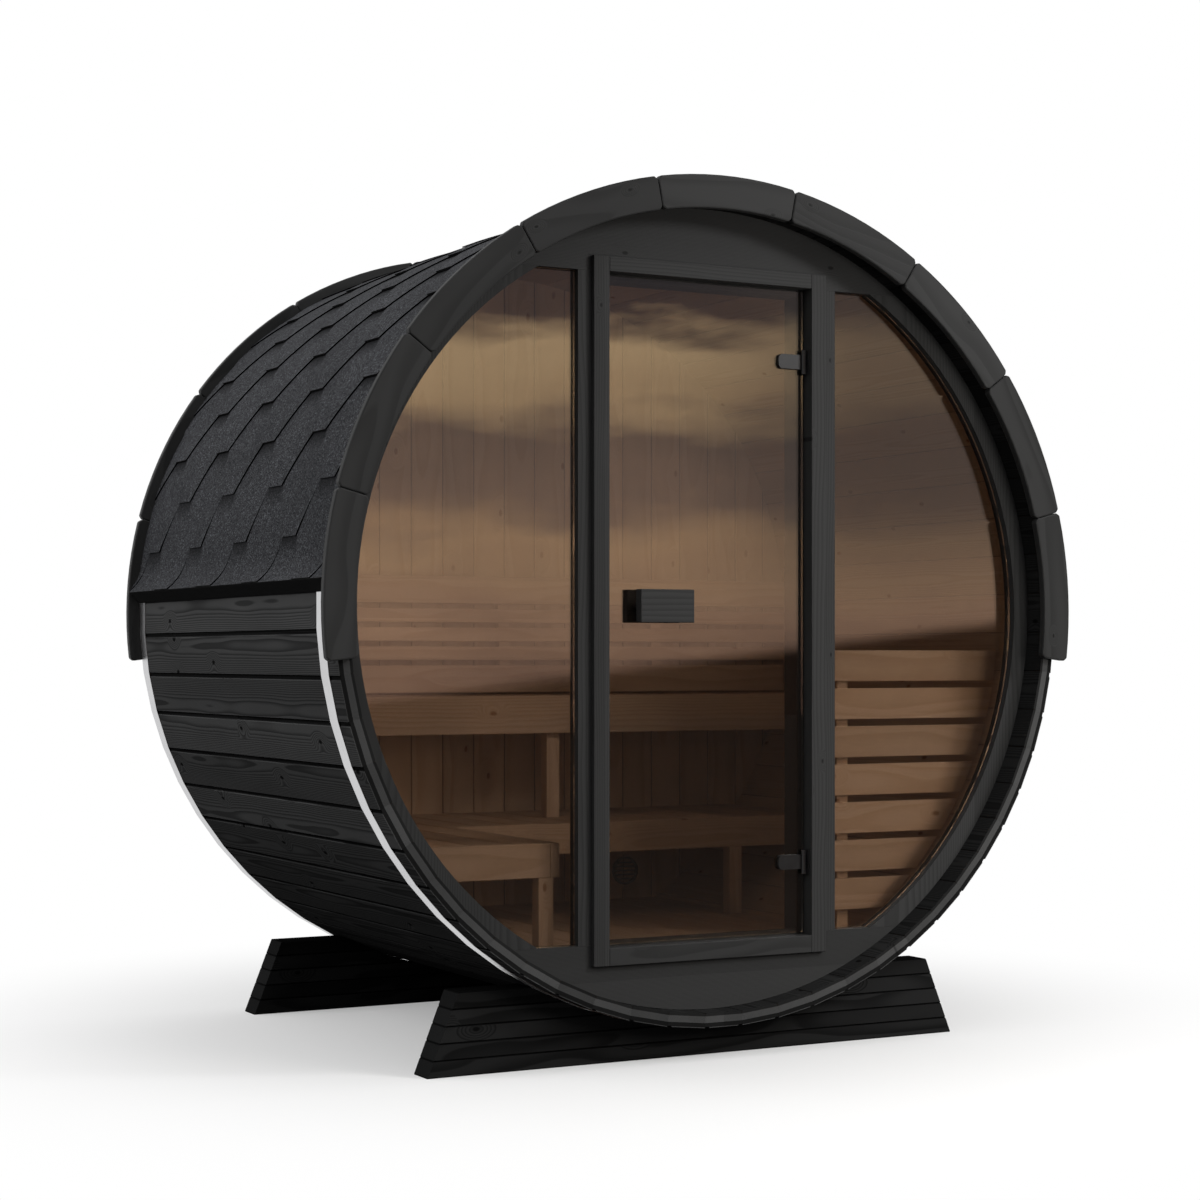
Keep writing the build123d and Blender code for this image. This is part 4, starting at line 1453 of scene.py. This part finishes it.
@dataclass(frozen=True)
class Surround:
    """White where it is seen directly, with evening clouds for the front to mirror: in degrees."""

    zenith: float = 1.0
    horizon: float = 0.10
    brighter: tuple[float, float] = (-0.1, 0.9)
    evening: tuple[tuple[float, Colour], ...] = (
        (-0.5, (0.36, 0.23, 0.18)), (1.0, (0.70, 0.45, 0.31)), (2.6, (0.90, 0.60, 0.37)),
        (3.9, (0.40, 0.30, 0.25)), (5.2, (0.30, 0.24, 0.21)), (6.2, (1.00, 0.72, 0.43)),
        (7.3, (1.20, 0.88, 0.52)), (8.2, (0.12, 0.11, 0.12)), (10.0, (0.06, 0.06, 0.07)),
    )
    ramp_low: float = -2.0
    ramp_high: float = 12.0
    drift_stretch: float = 0.30
    drift: float = 2.6
    ridge_start: float = 31.0
    ridge_slope: float = 0.125
    ridge_edge: tuple[float, float] = (-0.25, 0.2)
    ridge_tone: Colour = (0.03, 0.02, 0.016)
    haze_bearing: tuple[float, float] = (29.5, 35.0)
    haze_level: tuple[float, float] = (0.0, 4.2)
    haze_share: float = 0.80
    haze: Colour = (0.19, 0.16, 0.145)
    ahead: float = 20.0
    ahead_reach: tuple[float, float] = (62.0, 80.0)

    def dusk(self, sheet: Sheet, bearing: Socket, level: Socket) -> Socket:
        """Paints evening clouds above a dark ridge.

        Args:
            sheet: The surround's nodes.
            bearing: Degrees to the right of the barrel's own front.
            level: Degrees above the horizon.

        Returns:
            The colour.
        """
        drift = sheet.join(sheet.times(bearing, self.drift_stretch), level)
        drift = sheet.minus(sheet.noise(drift, 1.0, 4.0, 0.55), 0.5)
        height = sheet.plus(level, sheet.times(drift, self.drift))
        low, span = self.ramp_low, self.ramp_high - self.ramp_low
        bands = sheet.node("ValToRGB")
        sheet.feed(bands.inputs[0], sheet.maths("DIVIDE", sheet.minus(height, low), span))
        ramp = bands.color_ramp
        while len(ramp.elements) < len(self.evening):
            ramp.elements.new(0.5)
        for element, (degrees, colour) in zip(ramp.elements, self.evening):
            element.position = (degrees - low) / span
            element.color = (*colour, 1.0)
        ridge = sheet.times(sheet.minus(bearing, self.ridge_start), self.ridge_slope)
        above = sheet.smooth(sheet.minus(level, ridge), *self.ridge_edge)
        fade = sheet.smooth(bearing, *self.haze_bearing, 0.0, self.haze_share)
        fade = sheet.times(fade, sheet.smooth(level, *self.haze_level))
        return sheet.mix(above, self.ridge_tone, sheet.mix(fade, bands.outputs[0], self.haze))

    def build(self) -> None:
        """Builds the world."""
        world = bpy.data.worlds.new("studio_surround")
        bpy.context.scene.world = world
        world.use_nodes = True
        sheet = Sheet(world.node_tree)
        x, y, z = sheet.split(sheet.node("TexCoord").outputs["Generated"])
        plain = sheet.fill(sheet.find("BACKGROUND"), Color=WHITE,
                           Strength=sheet.smooth(z, *self.brighter, self.horizon, self.zenith))
        level = sheet.times(sheet.maths("ARCSINE", z), DEGREES)
        bearing = sheet.times(sheet.maths("ARCTAN2", x, sheet.times(y, -1.0)), DEGREES)
        ahead = sheet.maths("ABSOLUTE", sheet.minus(bearing, self.ahead))
        ahead = sheet.smooth(ahead, *self.ahead_reach, 1.0, 0.0)
        colour = sheet.mix(ahead, WHITE, self.dusk(sheet, bearing, level))
        mirrored = sheet.fill(sheet.node("Background"), Color=colour, Strength=1.0)
        white = sheet.fill(sheet.node("Background"), Color=WHITE)
        path = sheet.node("LightPath").outputs
        glossy = sheet.maths("MAXIMUM", path["Is Glossy Ray"], path["Is Transmission Ray"])
        surface = sheet.blend(glossy, plain.outputs[0], mirrored.outputs[0])
        surface = sheet.blend(path["Is Camera Ray"], surface, white.outputs[0])
        sheet.fill(sheet.find("OUTPUT_WORLD"), Surface=surface)


@dataclass(frozen=True)
class Studio:
    """Pale floor, surround and soft lamps."""

    floor_size: float = 60.0
    surround: Surround = Surround()
    lamps: tuple[SoftLamp, ...] = (
        SoftLamp("left_key", (-4.6, 1.2, 3.6), (-0.4, 0.0, 1.2), 2.6, 72.0),
        SoftLamp("right_sheen", (3.2, -3.9, 3.4), (0.6, -0.7, 1.6), 1.0, 88.0, mirrored=True),
        SoftLamp("cabin_glow", (1.1, -3.0, 1.2), (0.0, 0.3, 0.9), 1.0, 26.0, (1.0, 0.96, 0.90)),
    )

    def build(self, shop: Workshop) -> None:
        """Lays the floor, and adds the surround and the lamps.

        Args:
            shop: The shared groups and materials.
        """
        bpy.ops.object.select_all(action="DESELECT")
        bpy.ops.mesh.primitive_plane_add(size=self.floor_size, location=(0.0, 0.0, 0.0))
        piece = bpy.context.active_object
        piece.name = piece.data.name = "studio_floor"
        piece.data.materials.append(shop.material(PaleFloor("pale_floor")))
        piece.visible_glossy = False
        self.surround.build()
        for lamp in self.lamps:
            lamp.build()
        bpy.context.scene.view_settings.view_transform = "Standard"


@dataclass(frozen=True)
class Viewpoint:
    """Level camera where the photograph was taken, for a square frame."""

    place: tuple[float, float, float] = (-3.0308, -5.6747, 0.9719)
    yaw: float = 28.4038
    lens: float = 72.188
    rise: float = 0.04807
    sensor: float = 36.0
    clip_end: float = 200.0

    def build(self) -> None:
        """Adds the camera and makes it the scene's."""
        data = bpy.data.cameras.new("photo_view")
        data.lens = self.lens
        data.sensor_width = self.sensor
        data.sensor_fit = "HORIZONTAL"
        data.shift_y = self.rise
        data.clip_end = self.clip_end
        camera = bpy.data.objects.new("photo_view", data)
        bpy.context.scene.collection.objects.link(camera)
        camera.location = self.place
        camera.rotation_euler = (math.radians(90.0), 0.0, math.radians(-self.yaw))
        bpy.context.scene.camera = camera


def main() -> None:
    """Builds the sub-assemblies, the camera and the studio, and notes the sizes."""
    logging.basicConfig(level=logging.INFO, format="%(name)s: %(message)s")
    shop = Workshop()
    for part in (Shell(), FrontWall(), Door(), Cabin(), Cradles(), ShingleRoof()):
        part.build(shop)
    Viewpoint().build()
    Studio().build(shop)


if __name__ == "__main__":
    main()
